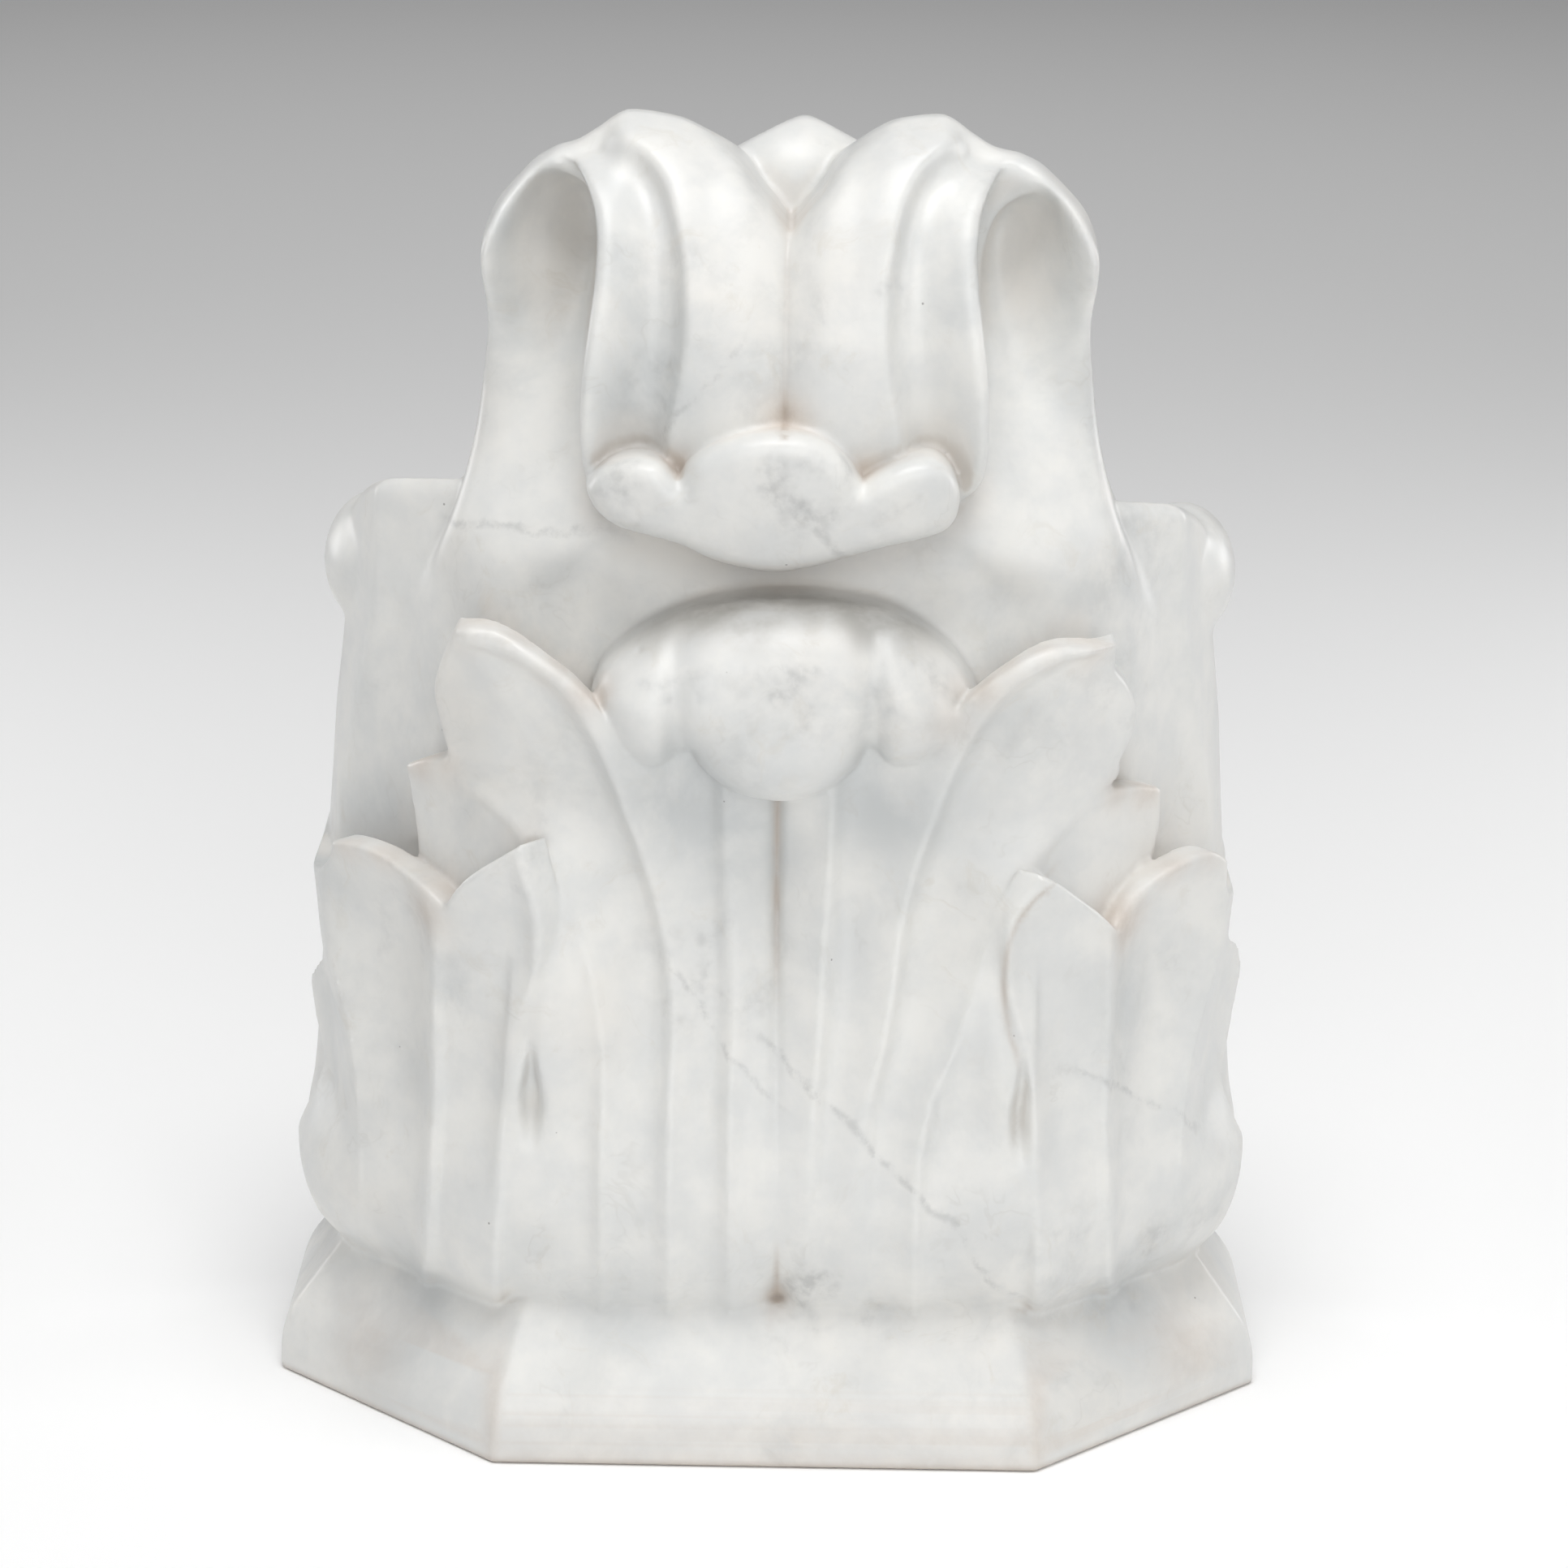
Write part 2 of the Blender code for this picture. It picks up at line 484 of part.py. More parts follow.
def side_leaf(x, d, z):
    """The last lobe, round the corner on each side face, with the drilled eye behind it."""
    across = np.abs(x)
    side = across - WIDTH / 2
    arris = PAIR_OUTER(z)
    arris_d = arris - FRONT_HALF + ROOT2 * PAIR_IN(z)
    low = 1 - ramp(z, 78, 124)
    slope = SIDE_STRIP_SLOPE + (1 - SIDE_STRIP_SLOPE) * low
    strip = (across - arris - slope * (d - arris_d)) / np.sqrt(1 + slope * slope)
    strip = strip + 3.0 * (1 - low) * scoop(d - arris_d, 0.0, 45.0, 0.7)
    shape = np.where(x < 0, SIDE_LOBE_LEFT(d, z), SIDE_LOBE_RIGHT(d, z))
    lobes = smooth_max(smooth_max(side + SIDE_LOBE_IN(z), strip, 4 + 14 * low), shape, RIM)
    return np.maximum(lobes, arris - across)


def lower_leaf(x, d, z):
    """The leaf wrapped round the front and the chamfers: a blade and its pairs of lobes."""
    face = octagon_faces(x, d, 18)
    depth = BLADE_RELIEF(x, z)
    leaf = smooth_max(face + depth, BLADE(x, z), RIM)
    for shape in (UPPER_LEFT, UPPER_RIGHT):
        leaf = smooth_min(leaf, plate(face, depth, x, z, shape, 13, 2.0), 1)
    sunk = MIDDLE_IN(z) + 2.5 * ramp(132 - np.abs(x), 0, 30) * ramp(z, 212, 236)
    for shape in (MIDDLE_LEFT, MIDDLE_RIGHT):
        leaf = smooth_min(leaf, plate(face, sunk, x, z, shape, 12, 2.0, 0.6), 2)
    depth = PAIR_RELIEF(x, z)
    for shape in (PAIR_LEFT, PAIR_RIGHT):
        leaf = smooth_min(leaf, plate(face, depth, x, z, shape, 13, 2.0, 0.7), 2)
    return smooth_min(leaf, side_leaf(x, d, z), 2)


def bulb(x, d, z):
    """The tip of the lower leaf, curled forward in three lobes."""
    shape = BULB(x, z)
    low = 1 - ramp(z, 268, 312)
    grooves = (2.5 + 2.5 * low) * (np.exp(-((x + 36) / 5.0) ** 2) + np.exp(-((x - 35) / 5.0) ** 2))
    for knob in (-52, 53):
        grooves = grooves - 3.0 * np.exp(-((x - knob) / 13.0) ** 2 - ((z - 287) / 15.0) ** 2)
    face = 3.0 + 0.0014 * x * x + 0.0035 * np.maximum(z - 285, 0) ** 2 + pillow(shape, 22.0) + grooves
    return smooth_max(shape, np.maximum(face - d, d - 62), 3)


# ------------------------------------------------------------------ the carving

def carving(x, d, z):
    """Everything above the plinth's bevel, as one distance field."""
    face = STEM_FRONT(x, z) + 4
    cleared = smooth_max(np.maximum(np.abs(x - TALL_MIDDLE) - TALL_HALF(z), d - face), 250 - z, 10)
    body = smooth_max(block(x, d, z), -cleared, 2)
    body = smooth_min(body, side_curls(x, d, z), 3)
    body = smooth_min(body, tall_leaf(x, d, z), 2 + 12 * (1 - ramp(z, 300, 345)))
    body = smooth_min(body, lower_leaf(x, d, z), 3)
    body = smooth_min(body, lip(x, d, z), 2)
    body = smooth_min(body, bulb(x, d, z), 2.5)
    return np.maximum(body, 44.0 - z)


def unpinch(field, depth=0.01):
    """Fills the few grid points where two surfaces would otherwise meet at a corner or an edge."""
    pairs = [((0, 0, 0), (0, 1, 1)), ((0, 0, 1), (0, 1, 0)), ((0, 0, 0), (1, 0, 1)), ((0, 0, 1), (1, 0, 0)),
             ((0, 0, 0), (1, 1, 0)), ((0, 1, 0), (1, 0, 0)), ((0, 0, 0), (1, 1, 1)), ((0, 0, 1), (1, 1, 0)),
             ((0, 1, 0), (1, 0, 1)), ((1, 0, 0), (0, 1, 1))]
    for _ in range(40):
        changed = False
        for pair in pairs:
            box = tuple(np.unique([a, b]) if a != b else np.array([0]) for a, b in zip(*pair))
            between = [(i, j, k) for i in box[0] for j in box[1] for k in box[2]]
            between = [at for at in between if at not in pair]

            def shifted(at):
                return field[tuple(slice(c, n - (len(o) > 1) + c) for c, n, o in zip(at, field.shape, box))]

            ends = [shifted(at) < 0 for at in pair]
            rest = [shifted(at) < 0 for at in between]
            joined = ends[0] & ends[1] & ~np.any(rest, axis=0)
            parted = ~ends[0] & ~ends[1] & np.all(rest, axis=0)
            for at, pinched in ((between[0], joined), (pair[0], parted)):
                if pinched.any():
                    shifted(at)[pinched] = -depth
                    changed = True
        if not changed:
            break
    return field


def gather_surface(field, corner, cell):
    """Points and quads of the field's zero level: one point in each cell that it crosses."""
    inside = field < 0
    size = np.array(field.shape)
    corners = [np.array([i, j, k]) for i in (0, 1) for j in (0, 1) for k in (0, 1)]
    count = sum(inside[tuple(slice(c, n - 1 + c) for c, n in zip(at, size))].astype(np.int8)
                for at in corners)
    mixed = (count > 0) & (count < 8)
    cells = np.argwhere(mixed)
    number = np.full(mixed.shape, -1)
    number[mixed] = np.arange(len(cells))
    total = np.zeros((len(cells), 3))
    hits = np.zeros((len(cells), 1))
    for start in corners:
        for axis in np.flatnonzero(start == 0):
            end = start + np.eye(3, dtype=int)[axis]
            here = field[tuple((cells + start).T)]
            there = field[tuple((cells + end).T)]
            crossed = (here < 0) != (there < 0)
            along = np.where(crossed, here / np.where(crossed, here - there, 1), 0)
            total += (start + along[:, None] * (end - start)) * crossed[:, None]
            hits += crossed[:, None]
    points = corner + (cells + total / hits) * cell
    quads = []
    for axis in range(3):
        first, second = np.eye(3, dtype=int)[(axis + 1) % 3], np.eye(3, dtype=int)[(axis + 2) % 3]
        low = [slice(1, n - 1) for n in size]
        high = [slice(1, n - 1) for n in size]
        low[axis], high[axis] = slice(0, size[axis] - 1), slice(1, size[axis])
        leaving = inside[tuple(low)]
        edges = np.argwhere(leaving != inside[tuple(high)]) + 1 - np.eye(3, dtype=int)[axis]
        ring = [edges - first - second, edges - second, edges, edges - first]
        quad = np.stack([number[tuple(r.T)] for r in ring], axis=1)
        backward = ~inside[tuple(edges.T)]
        quad[backward] = quad[backward][:, ::-1]
        quads.append(quad)
    return points, np.vstack(quads)


def outer_shell(points, quads):
    """The surface without any closed bubbles inside the stone."""
    label = np.arange(len(points))
    while True:
        lowest = label.copy()
        for corner in quads.T:
            np.minimum.at(lowest, corner, label[quads].min(axis=1))
        lowest = lowest[lowest]
        if np.array_equal(lowest, label):
            break
        label = lowest
    outer = np.bincount(label).argmax()
    used = label == outer
    return points[used], (np.cumsum(used) - 1)[quads[used[quads[:, 0]]]]


# ------------------------------------------------------------------ Blender objects

def to_metres(points):
    """From x, d and z in millimetres to the object's own frame."""
    return (np.asarray(points, float) - (0, DEPTH / 2, 0)) * MM


def carve(name, collection):
    """The carving as a mesh object."""
    low = np.array([-WIDTH / 2, -2 * CELL, 40.0])
    high = np.array([WIDTH / 2, DEPTH + 4 * CELL, 504.0])
    steps = np.ceil((high - low) / CELL).astype(int) + 1
    x, d, z = np.ogrid[:steps[0], :steps[1], :steps[2]]
    field = carving(low[0] + x * CELL, low[1] + d * CELL, low[2] + z * CELL)
    field = np.maximum(field, low[1] + d * CELL - (DEPTH + CELL))
    points, quads = outer_shell(*gather_surface(unpinch(field), low, CELL))
    mesh = bpy.data.meshes.new(name)
    mesh.from_pydata(to_metres(points).tolist(), [], quads.tolist())
    obj = bpy.data.objects.new(name, mesh)
    collection.objects.link(obj)
    thin = obj.modifiers.new("thin", "DECIMATE")
    thin.ratio = TARGET_TRIANGLES / (2 * len(quads))
    return obj


def half_octagon(inset):
    """Plan of the plinth, moved in by inset on every side but the back."""
    corner = np.tan(np.radians(22.5)) * inset
    half, front = WIDTH / 2 - inset, FRONT_HALF - corner
    chamfer_end = WIDTH / 2 - FRONT_HALF + corner
    right = [(front, inset), (half, chamfer_end), (half, DEPTH)]
    return right + [(-x, d) for x, d in reversed(right)]


def plinth(name, collection):
    """The sawn plinth: an upright band, then a bevel up to the leaves."""
    rise = BEVEL_TOP - FASCIA
    sections = [(0.0, 0.0), (0.0, FASCIA), (rise / np.tan(np.radians(BEVEL_SLOPE)), BEVEL_TOP)]
    rings = [[(x, d, z) for x, d in half_octagon(inset)] for inset, z in sections]
    shape = bmesh.new()
    loops = [[shape.verts.new(p) for p in to_metres(ring)] for ring in rings]
    for lower, upper in zip(loops, loops[1:]):
        for i in range(len(lower)):
            j = (i + 1) % len(lower)
            shape.faces.new((lower[i], lower[j], upper[j], upper[i]))
    shape.faces.new(reversed(loops[0]))
    shape.faces.new(loops[-1])
    bmesh.ops.recalc_face_normals(shape, faces=shape.faces)
    mesh = bpy.data.meshes.new(name)
    shape.to_mesh(mesh)
    shape.free()
    obj = bpy.data.objects.new(name, mesh)
    collection.objects.link(obj)
    return obj


def back_cutter(name, collection):
    """A box behind the back plane, which saws the carving flat."""
    bpy.ops.mesh.primitive_cube_add(size=1.0)
    obj = bpy.context.object
    obj.name = name
    obj.scale = (0.6, 0.1, 0.7)
    obj.location = (0.0, DEPTH / 2 * MM + 0.05, 0.3)
    for home in obj.users_collection:
        home.objects.unlink(obj)
    collection.objects.link(obj)
    return obj


def marble():
    """Polished white marble."""
    material = bpy.data.materials.new("white_marble")
    material.use_nodes = True
    shader = material.node_tree.nodes["Principled BSDF"]
    shader.inputs["Base Color"].default_value = STONE_COLOUR
    shader.inputs["Roughness"].default_value = STONE_ROUGHNESS
    shader.inputs["Metallic"].default_value = 0.0
    return material


def combine(obj, other, operation):
    """Adds a Boolean modifier; the other object only guides it."""
    modifier = obj.modifiers.new(other.name, "BOOLEAN")
    modifier.operation = operation
    modifier.solver = "EXACT"
    modifier.object = other
    other.hide_render = True
    other.display_type = "WIRE"


def main():
    for obj in list(bpy.data.objects):
        bpy.data.objects.remove(obj)
    parts = bpy.data.collections.new("marble_corbel")
    guides = bpy.data.collections.new("cutters")
    for collection in (parts, guides):
        bpy.context.scene.collection.children.link(collection)
    corbel = carve("corbel_block", parts)
    combine(corbel, back_cutter("back_cut", guides), "DIFFERENCE")
    combine(corbel, plinth("plinth_sawn", guides), "UNION")
    corbel.data.materials.append(marble())
    corbel.data.shade_smooth()
    corbel.data.set_sharp_from_angle(angle=np.radians(40))


main()
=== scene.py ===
import bpy
import numpy as np
from mathutils import Matrix, Vector


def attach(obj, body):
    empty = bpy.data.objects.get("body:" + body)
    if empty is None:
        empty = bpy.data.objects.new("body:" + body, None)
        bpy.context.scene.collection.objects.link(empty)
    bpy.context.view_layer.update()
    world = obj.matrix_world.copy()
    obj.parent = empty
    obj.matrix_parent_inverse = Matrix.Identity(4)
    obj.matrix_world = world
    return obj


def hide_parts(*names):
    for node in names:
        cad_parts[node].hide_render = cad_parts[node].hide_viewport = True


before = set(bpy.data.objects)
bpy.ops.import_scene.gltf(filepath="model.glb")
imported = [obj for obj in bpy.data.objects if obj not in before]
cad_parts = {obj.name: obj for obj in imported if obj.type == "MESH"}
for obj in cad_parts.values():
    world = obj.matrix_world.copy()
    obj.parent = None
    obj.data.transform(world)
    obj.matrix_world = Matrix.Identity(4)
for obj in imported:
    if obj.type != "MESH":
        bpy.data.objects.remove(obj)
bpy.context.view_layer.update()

# Carved marble corbel: an acanthus leaf in two tiers on its own half-octagonal plinth.
#
# The CAD holds the block with its larger carving. Here it is carved finely. The form is described by
# distance functions in millimetres, negative inside the stone and positive outside. Each leaf, lobe and
# curl has its own. Inside them x runs across (right is positive), d runs back from the plinth's front
# edge, and z runs up from the underside.

MM = 0.001
ROOT2 = 2 ** 0.5

# Plinth, in millimetres
WIDTH = 380.0
DEPTH = 172.0
FRONT_HALF = 101.5  # half the width of the front face
FASCIA = 20.0  # height of the upright band
BEVEL_TOP = 56.0  # height at which the sloping bevel runs under the leaves
BEVEL_SLOPE = 53.0  # degrees from level
TOP = 494.6  # height of the whole stone

# Block behind the leaves
SHOULDER_TOP = 352.5  # height of the two side shoulders above their front arris
SHOULDER_TILT = 0.017  # the right shoulder is a little lower than the left
SHOULDER_FALL = 0.25  # slope of their tops, down to the back
SHOULDER_ARRIS = 110.0  # depth of the front arris
STRIP_LENGTH = 34.0  # depth of the narrow strip between the front arris and the side face
SIDE_CURL_MIDDLE = (156, 164, 309)
SIDE_CURL_RADII = (21, 34, 26)

# Tall leaf
ARCH_CENTRE = (86.0, 418.0)  # depth and height of the middle of the arch
ARCH_RADII = (59.0, 76.0)
COLUMN_FRONT = 60.0
COLUMN_TOP = 428.0
TALL_FOOT = 225.0
TALL_MIDDLE = 2.5  # the tall leaf and its notch stand a little to the right
DROOP_MIDDLE = 1.5  # and so does the valley between its drooping halves
DROOP_UNDERSIDE = 336
DROOP_FLUTE = 24.0  # depth of the hollow in each drooping half
NOTCH_BACK = 128
BUD_MIDDLE = (5.0, 144.0, 467.0)  # below its middle the bud runs straight down into the stem
BUD_RADII = (37.0, 44.0, 25.0)
BUD_PEAK = 493.0
LIP_NOTCHES = (-36, 30)

# Lower leaf
LEAF_FOOT = 44.0  # height at which the carving starts, inside the bevel
EYES = ((-88.0, 141.0), (93.0, 138.0))
EYE_HALF = (4.2, 17.0)
EYE_DEPTH = 6.5
SIDE_STRIP_SLOPE = 0.37
RIM = 2.5  # how far a lobe's face rounds over at its edge
BULB_GROOVES = (-36, 35)
BULB_KNOBS = (-52, 53)
BULB_BACK = 62

# Meshing
CELL = 1.35  # grid step in millimetres
MARGIN = 3  # empty cells round the stone
BLOCK = 4  # cells along the side of a block that is worked out together
NEAR = 11.0  # a block is worked out if its middle is this near the surface
SMOOTHING_STEPS = 3
TARGET_TRIANGLES = 195000
FOLD_REACH = {"fold": 9.0, "deep_fold": 26.0}  # how far out stone counts, in millimetres

# Marble colours
WHITE = (0.755, 0.75, 0.725, 1)
WHITE_DULL = (0.675, 0.68, 0.67, 1)
WHITE_WARM = (0.74, 0.705, 0.65, 1)
GREY_SOFT = (0.56, 0.575, 0.575, 1)
GREY_WARM = (0.45, 0.43, 0.39, 1)
BEIGE = (0.60, 0.57, 0.51, 1)
GREY_DEEP = (0.33, 0.335, 0.335, 1)
PATINA_PALE = (0.68, 0.58, 0.50, 1)
# brown of the patina, which also paints shade in the creases, along the valley bottoms and along the
# bottom edge
BROWN_PATINA_AND_SHADE = (0.42, 0.35, 0.29, 1)
# grey for the painted shadow of the lip on the bulb's top, mixed with grey dust
SHADOW_AND_DUST_GREY = (0.30, 0.29, 0.27, 1)
PIT_DARK = (0.10, 0.09, 0.08, 1)
GLOW = {"IOR": 1.49, "Subsurface Weight": 0.12, "Subsurface Radius": (0.0028, 0.0026, 0.0023),
        "Subsurface Scale": 1.0}

# Places on the marble: x, y and z of the object's frame, in millimetres, and their reach.
# A vein also has the direction across it, and its thickness.
VEINS = (
    ((45, -70, 115), (0.75, 0.1, 0.72), 3.0, 110), ((-20, -70, 165), (0.8, 0.1, 0.6), 2.5, 45),
    ((-95, -20, 345), (0.15, 0.3, 0.95), 2.5, 50), ((20, -70, 350), (0.7, 0.1, 0.7), 3.0, 40),
    ((-30, -60, 400), (0.8, 0.0, -0.6), 2.5, 35), ((135, -30, 130), (0.5, 0.2, 0.9), 3.0, 60),
)

SPECKLED = (  # dark flecks
    ((-52, -62, 365), 26), ((12, -70, 372), 34), ((44, -66, 366), 22), ((-36, -78, 300), 24),
    ((48, -72, 296), 34), ((4, -76, 300), 30), ((-45, -48, 405), 20), ((40, -60, 440), 22),
    ((-20, -68, 190), 40), ((20, -66, 60), 40), ((150, -20, 60), 34),
)

STAINED = (  # brown and pink patina: x, d and z in millimetres, reach and strength
    ((60, 14, 287), 10, 0.4), ((-108, 24, 318), 9, 0.6), ((-92, 18, 314), 8, 0.5),
    ((-78, 16, 304), 8, 0.6), ((-68, 14, 297), 8, 0.8), ((112, 26, 314), 9, 0.6),
    ((95, 18, 314), 8, 0.5), ((82, 16, 307), 8, 0.7), ((74, 14, 301), 8, 0.8),
    ((-131, 52, 260), 9, 0.8), ((-118, 42, 259), 7, 0.5), ((140, 60, 251), 9, 0.8),
    ((126, 48, 252), 7, 0.5), ((-123, 42, 205), 11, 1.0), ((129, 46, 202), 11, 1.0),
    ((-146, 50, 224), 10, 0.6), ((-160, 64, 222), 9, 0.4), ((150, 54, 222), 10, 0.6),
    ((164, 66, 223), 9, 0.4), ((5, 70, 455), 9, 1.0), ((2, 32, 392), 9, 0.8), ((-36, 36, 374), 7, 0.7),
    ((30, 36, 374), 7, 0.7), ((-92, 26, 162), 8, 0.4), ((4, 30, 60), 7, 0.8),
    ((-150, 60, 24), 20, 0.4), ((160, 70, 22), 18, 0.5),
)

GREY_CLOUDS_AND_SHADE = (  # grey smoke in the marble; the three under the bulb are painted shade
    ((-30, -58, 258), 48), ((42, -58, 258), 44), ((-12, -60, 236), 34), ((-88, -35, 460), 34),
    ((-45, -45, 400), 34), ((-160, 10, 210), 46), ((-140, -30, 35), 50), ((140, -30, 45), 44),
    ((120, -30, 175), 34),
)

# Studio: each light's name, place in metres, width, power, and what it looks at if not AIM
WORLD_BRIGHTNESS = 0.16
AIM = (0, 0, 0.25)
LIGHTS = (
    ("overhead", (0.0, -0.55, 2.3), 1.2, 30),
    ("front", (0.2, -2.1, 1.0), 1.6, 20),
    ("backdrop", (0.0, 3.0, 2.6), 3.5, 25, (0, 3.0, 0)),
    ("left", (-1.5, 1.0, 0.5), 0.6, 5.5),
    ("right", (1.5, 1.0, 0.5), 0.6, 5.5),
    ("left_front", (-1.6, -0.6, 0.9), 0.7, 2.0),
    ("right_front", (1.6, -0.6, 0.9), 0.7, 4.0),
)

# Camera, in metres and degrees
CAMERA_PLACE = (0.0083, -1.7234, 0.7277)
CAMERA_PITCH = 15.75  # looking down
CAMERA_YAW = 0.17
CAMERA_ROLL = 0.90
CAMERA_LENS = 108.99

# ------------ helpers

def smooth_min(a, b, blend):
    """Union of two distance fields, with a cove of about this radius between them."""
    mix = np.clip(0.5 + 0.5 * (b - a) / blend, 0.0, 1.0)
    return b + (a - b) * mix - blend * mix * (1.0 - mix)


def smooth_max(a, b, blend):
    """Intersection of two distance fields, with the edge between them eased."""
    return -smooth_min(-a, -b, blend)


def by_height(points):
    """A smooth function through (height, value) points, level beyond both ends."""
    heights, values = np.array(points, float).T
    slopes = np.diff(values) / np.diff(heights)
    tangents = np.zeros_like(values)
    steady = slopes[:-1] * slopes[1:] > 0
    tangents[1:-1][steady] = (2 * slopes[:-1] * slopes[1:])[steady] / (slopes[:-1] + slopes[1:])[steady]

    def exact(height):
        height = np.clip(height, heights[0], heights[-1])
        i = np.clip(np.searchsorted(heights, height, side="right") - 1, 0, len(heights) - 2)
        span = heights[i + 1] - heights[i]
        u = (height - heights[i]) / span
        start = (1 + 2 * u) * (1 - u) ** 2 * values[i] + u * (1 - u) ** 2 * span * tangents[i]
        end = u * u * (3 - 2 * u) * values[i + 1] + u * u * (u - 1) * span * tangents[i + 1]
        return start + end

    count = int(2 * (heights[-1] - heights[0])) + 2
    step = (heights[-1] - heights[0]) / (count - 1)
    table = exact(np.linspace(heights[0], heights[-1], count)).astype(np.float32)

    def value(height):
        place = np.clip((height - heights[0]) / step, 0, count - 1.001)
        i = place.astype(np.int32)
        return table[i] + (place - i) * (table[i + 1] - table[i])

    return value


def smooth_arc(points, steps=6):
    """Points of a Catmull-Rom curve through the given ones."""
    points = np.array(points, float)
    if len(points) == 2:
        return points
    padded = np.vstack([2 * points[0] - points[1], points, 2 * points[-1] - points[-2]])
    arc = []
    for before, start, end, after in zip(padded, padded[1:], padded[2:], padded[3:]):
        for s in np.arange(steps) / steps:
            arc.append(0.5 * (2 * start + (end - before) * s
                              + (2 * before - 5 * start + 4 * end - after) * s ** 2
                              + (3 * start - before - 3 * end + after) * s ** 3))
    arc.append(points[-1])
    return np.array(arc)


def outline(*arcs):
    """A closed outline in x and z: smooth along each arc, with a corner where two arcs meet."""
    return np.vstack([smooth_arc(arc)[:-1] for arc in arcs])


def from_outline(x, z, ring):
    """Signed distance to a closed outline, negative inside it."""
    nearest = np.full(np.broadcast(x, z).shape, np.inf)
    inside = np.zeros(nearest.shape, bool)
    for (ax, az), (bx, bz) in zip(ring, np.roll(ring, -1, axis=0)):
        run, rise = bx - ax, bz - az
        along = np.clip(((x - ax) * run + (z - az) * rise) / (run * run + rise * rise), 0, 1)
        nearest = np.minimum(nearest, (x - ax - along * run) ** 2 + (z - az - along * rise) ** 2)
        if rise:
            inside ^= ((az > z) != (bz > z)) & (x < run * (z - az) / rise + ax)
    return np.where(inside, -1.0, 1.0) * np.sqrt(nearest)


class Relief:
    """A function of x and z, kept as a table that is quick to read."""

    def __init__(self, function, low, high, step):
        self.low, self.step = low, step
        x, z = (np.arange(a, b + step, step) for a, b in zip(low, high))
        values = np.broadcast_to(function(x[:, None], z[None, :]), (len(x), len(z)))
        self.table = np.ascontiguousarray(values, np.float32)

    def __call__(self, x, z):
        i, j = (np.clip((value - low) / self.step, 0, size - 1.001)
                for value, low, size in zip((x, z), self.low, self.table.shape))
        i, j = np.broadcast_arrays(i, j)
        row, column = i.astype(np.int32), j.astype(np.int32)
        u, v = i - row, j - column
        flat, width = self.table.ravel(), self.table.shape[1]
        corner = row * width + column
        near, far = flat[corner], flat[corner + width]
        near_up, far_up = flat[corner + 1], flat[corner + 1 + width]
        return (near * (1 - v) + near_up * v) * (1 - u) + (far * (1 - v) + far_up * v) * u


def stencil(ring, margin=26.0, step=0.5):
    """The signed distance to a closed outline, as a table round it."""
    low, high = ring.min(axis=0) - margin, ring.max(axis=0) + margin
    return Relief(lambda x, z: from_outline(x, z, ring), low, high, step)


def ellipsoid(x, d, z, centre, radii):
    """Close to the signed distance to an ellipsoid."""
    p = [(q - c) / r for q, c, r in zip((x, d, z), centre, radii)]
    reach = np.sqrt(sum(q * q for q in p))
    slope = np.sqrt(sum((q / r) ** 2 for q, r in zip(p, radii))) + 1e-9
    return reach * (reach - 1.0) / slope


def pillow(distance, radius):
    """How far a face falls back as it rounds over towards its outline."""
    u = np.clip(1 + distance / radius, 0, 1)
    return radius * (1 - np.sqrt(1 - u * u))


def soft_step(value, wall):
    """0 well below zero, rising to 1 within a few walls above it, with a rounded start."""
    return 1 - np.exp(-0.5 * (value + np.sqrt(value * value + 4)) / wall)


def from_line(across, z, line):
    """Distance to the outer side of a line that is given as a function of height."""
    lean = (line(z + 1) - line(z - 1)) / 2
    return (across - line(z)) / np.sqrt(1 + lean * lean)


def flute(across, z, inner, outer, wall=3.5):
    """A hollow band: it drops quickly beside its inner line and rises gently to its outer line."""
    rise = (outer(z) - across) / np.maximum(outer(z) - inner(z), 4)
    return soft_step(from_line(across, z, inner), wall) * np.clip(rise, 0, 1)


def crease(away, reach):
    """A sharp valley between two rounded ribs, 1 deep in its middle."""
    return np.exp(-np.sqrt(away * away + 0.6) / reach)


def bead(across, z, line, width=2.8):
    """1 on a line that is given as a function of height, falling to 0 on both sides of it."""
    return np.exp(-(from_line(across, z, line) / width) ** 2)


def ramp(value, low, high):
    """0 below low, 1 above high, and smooth between."""
    u = np.clip((value - low) / (high - low), 0, 1)
    return u * u * (3 - 2 * u)


def octagon_faces(x, d, blend):
    """Distance to the plinth's front, chamfer and side planes, with eased corners."""
    across = np.sqrt(x * x + 1.0)
    chamfer = (across - d - FRONT_HALF) / ROOT2
    return smooth_max(smooth_max(-d, chamfer, blend), across - WIDTH / 2, blend)


# ------------ block and shoulders

CORE_CHAMFER_IN = by_height([(40, 30), (60, 30), (90, 32), (200, 38), (300, 41), (350, 42)])
CORE_FRONT_IN = by_height([(40, 34), (90, 34), (200, 44), (330, 50)])
SIDE_IN = by_height([
    (40, 28), (52, 18), (64, 10), (85, 5), (105, 8), (132, 10), (182, 12.5), (248, 17), (292, 22),
    (320, 24), (350, 26)])
SIDE_ARRIS = by_height([(221, 168), (260, 161.5), (321, 152.5), (349, 152.5)])


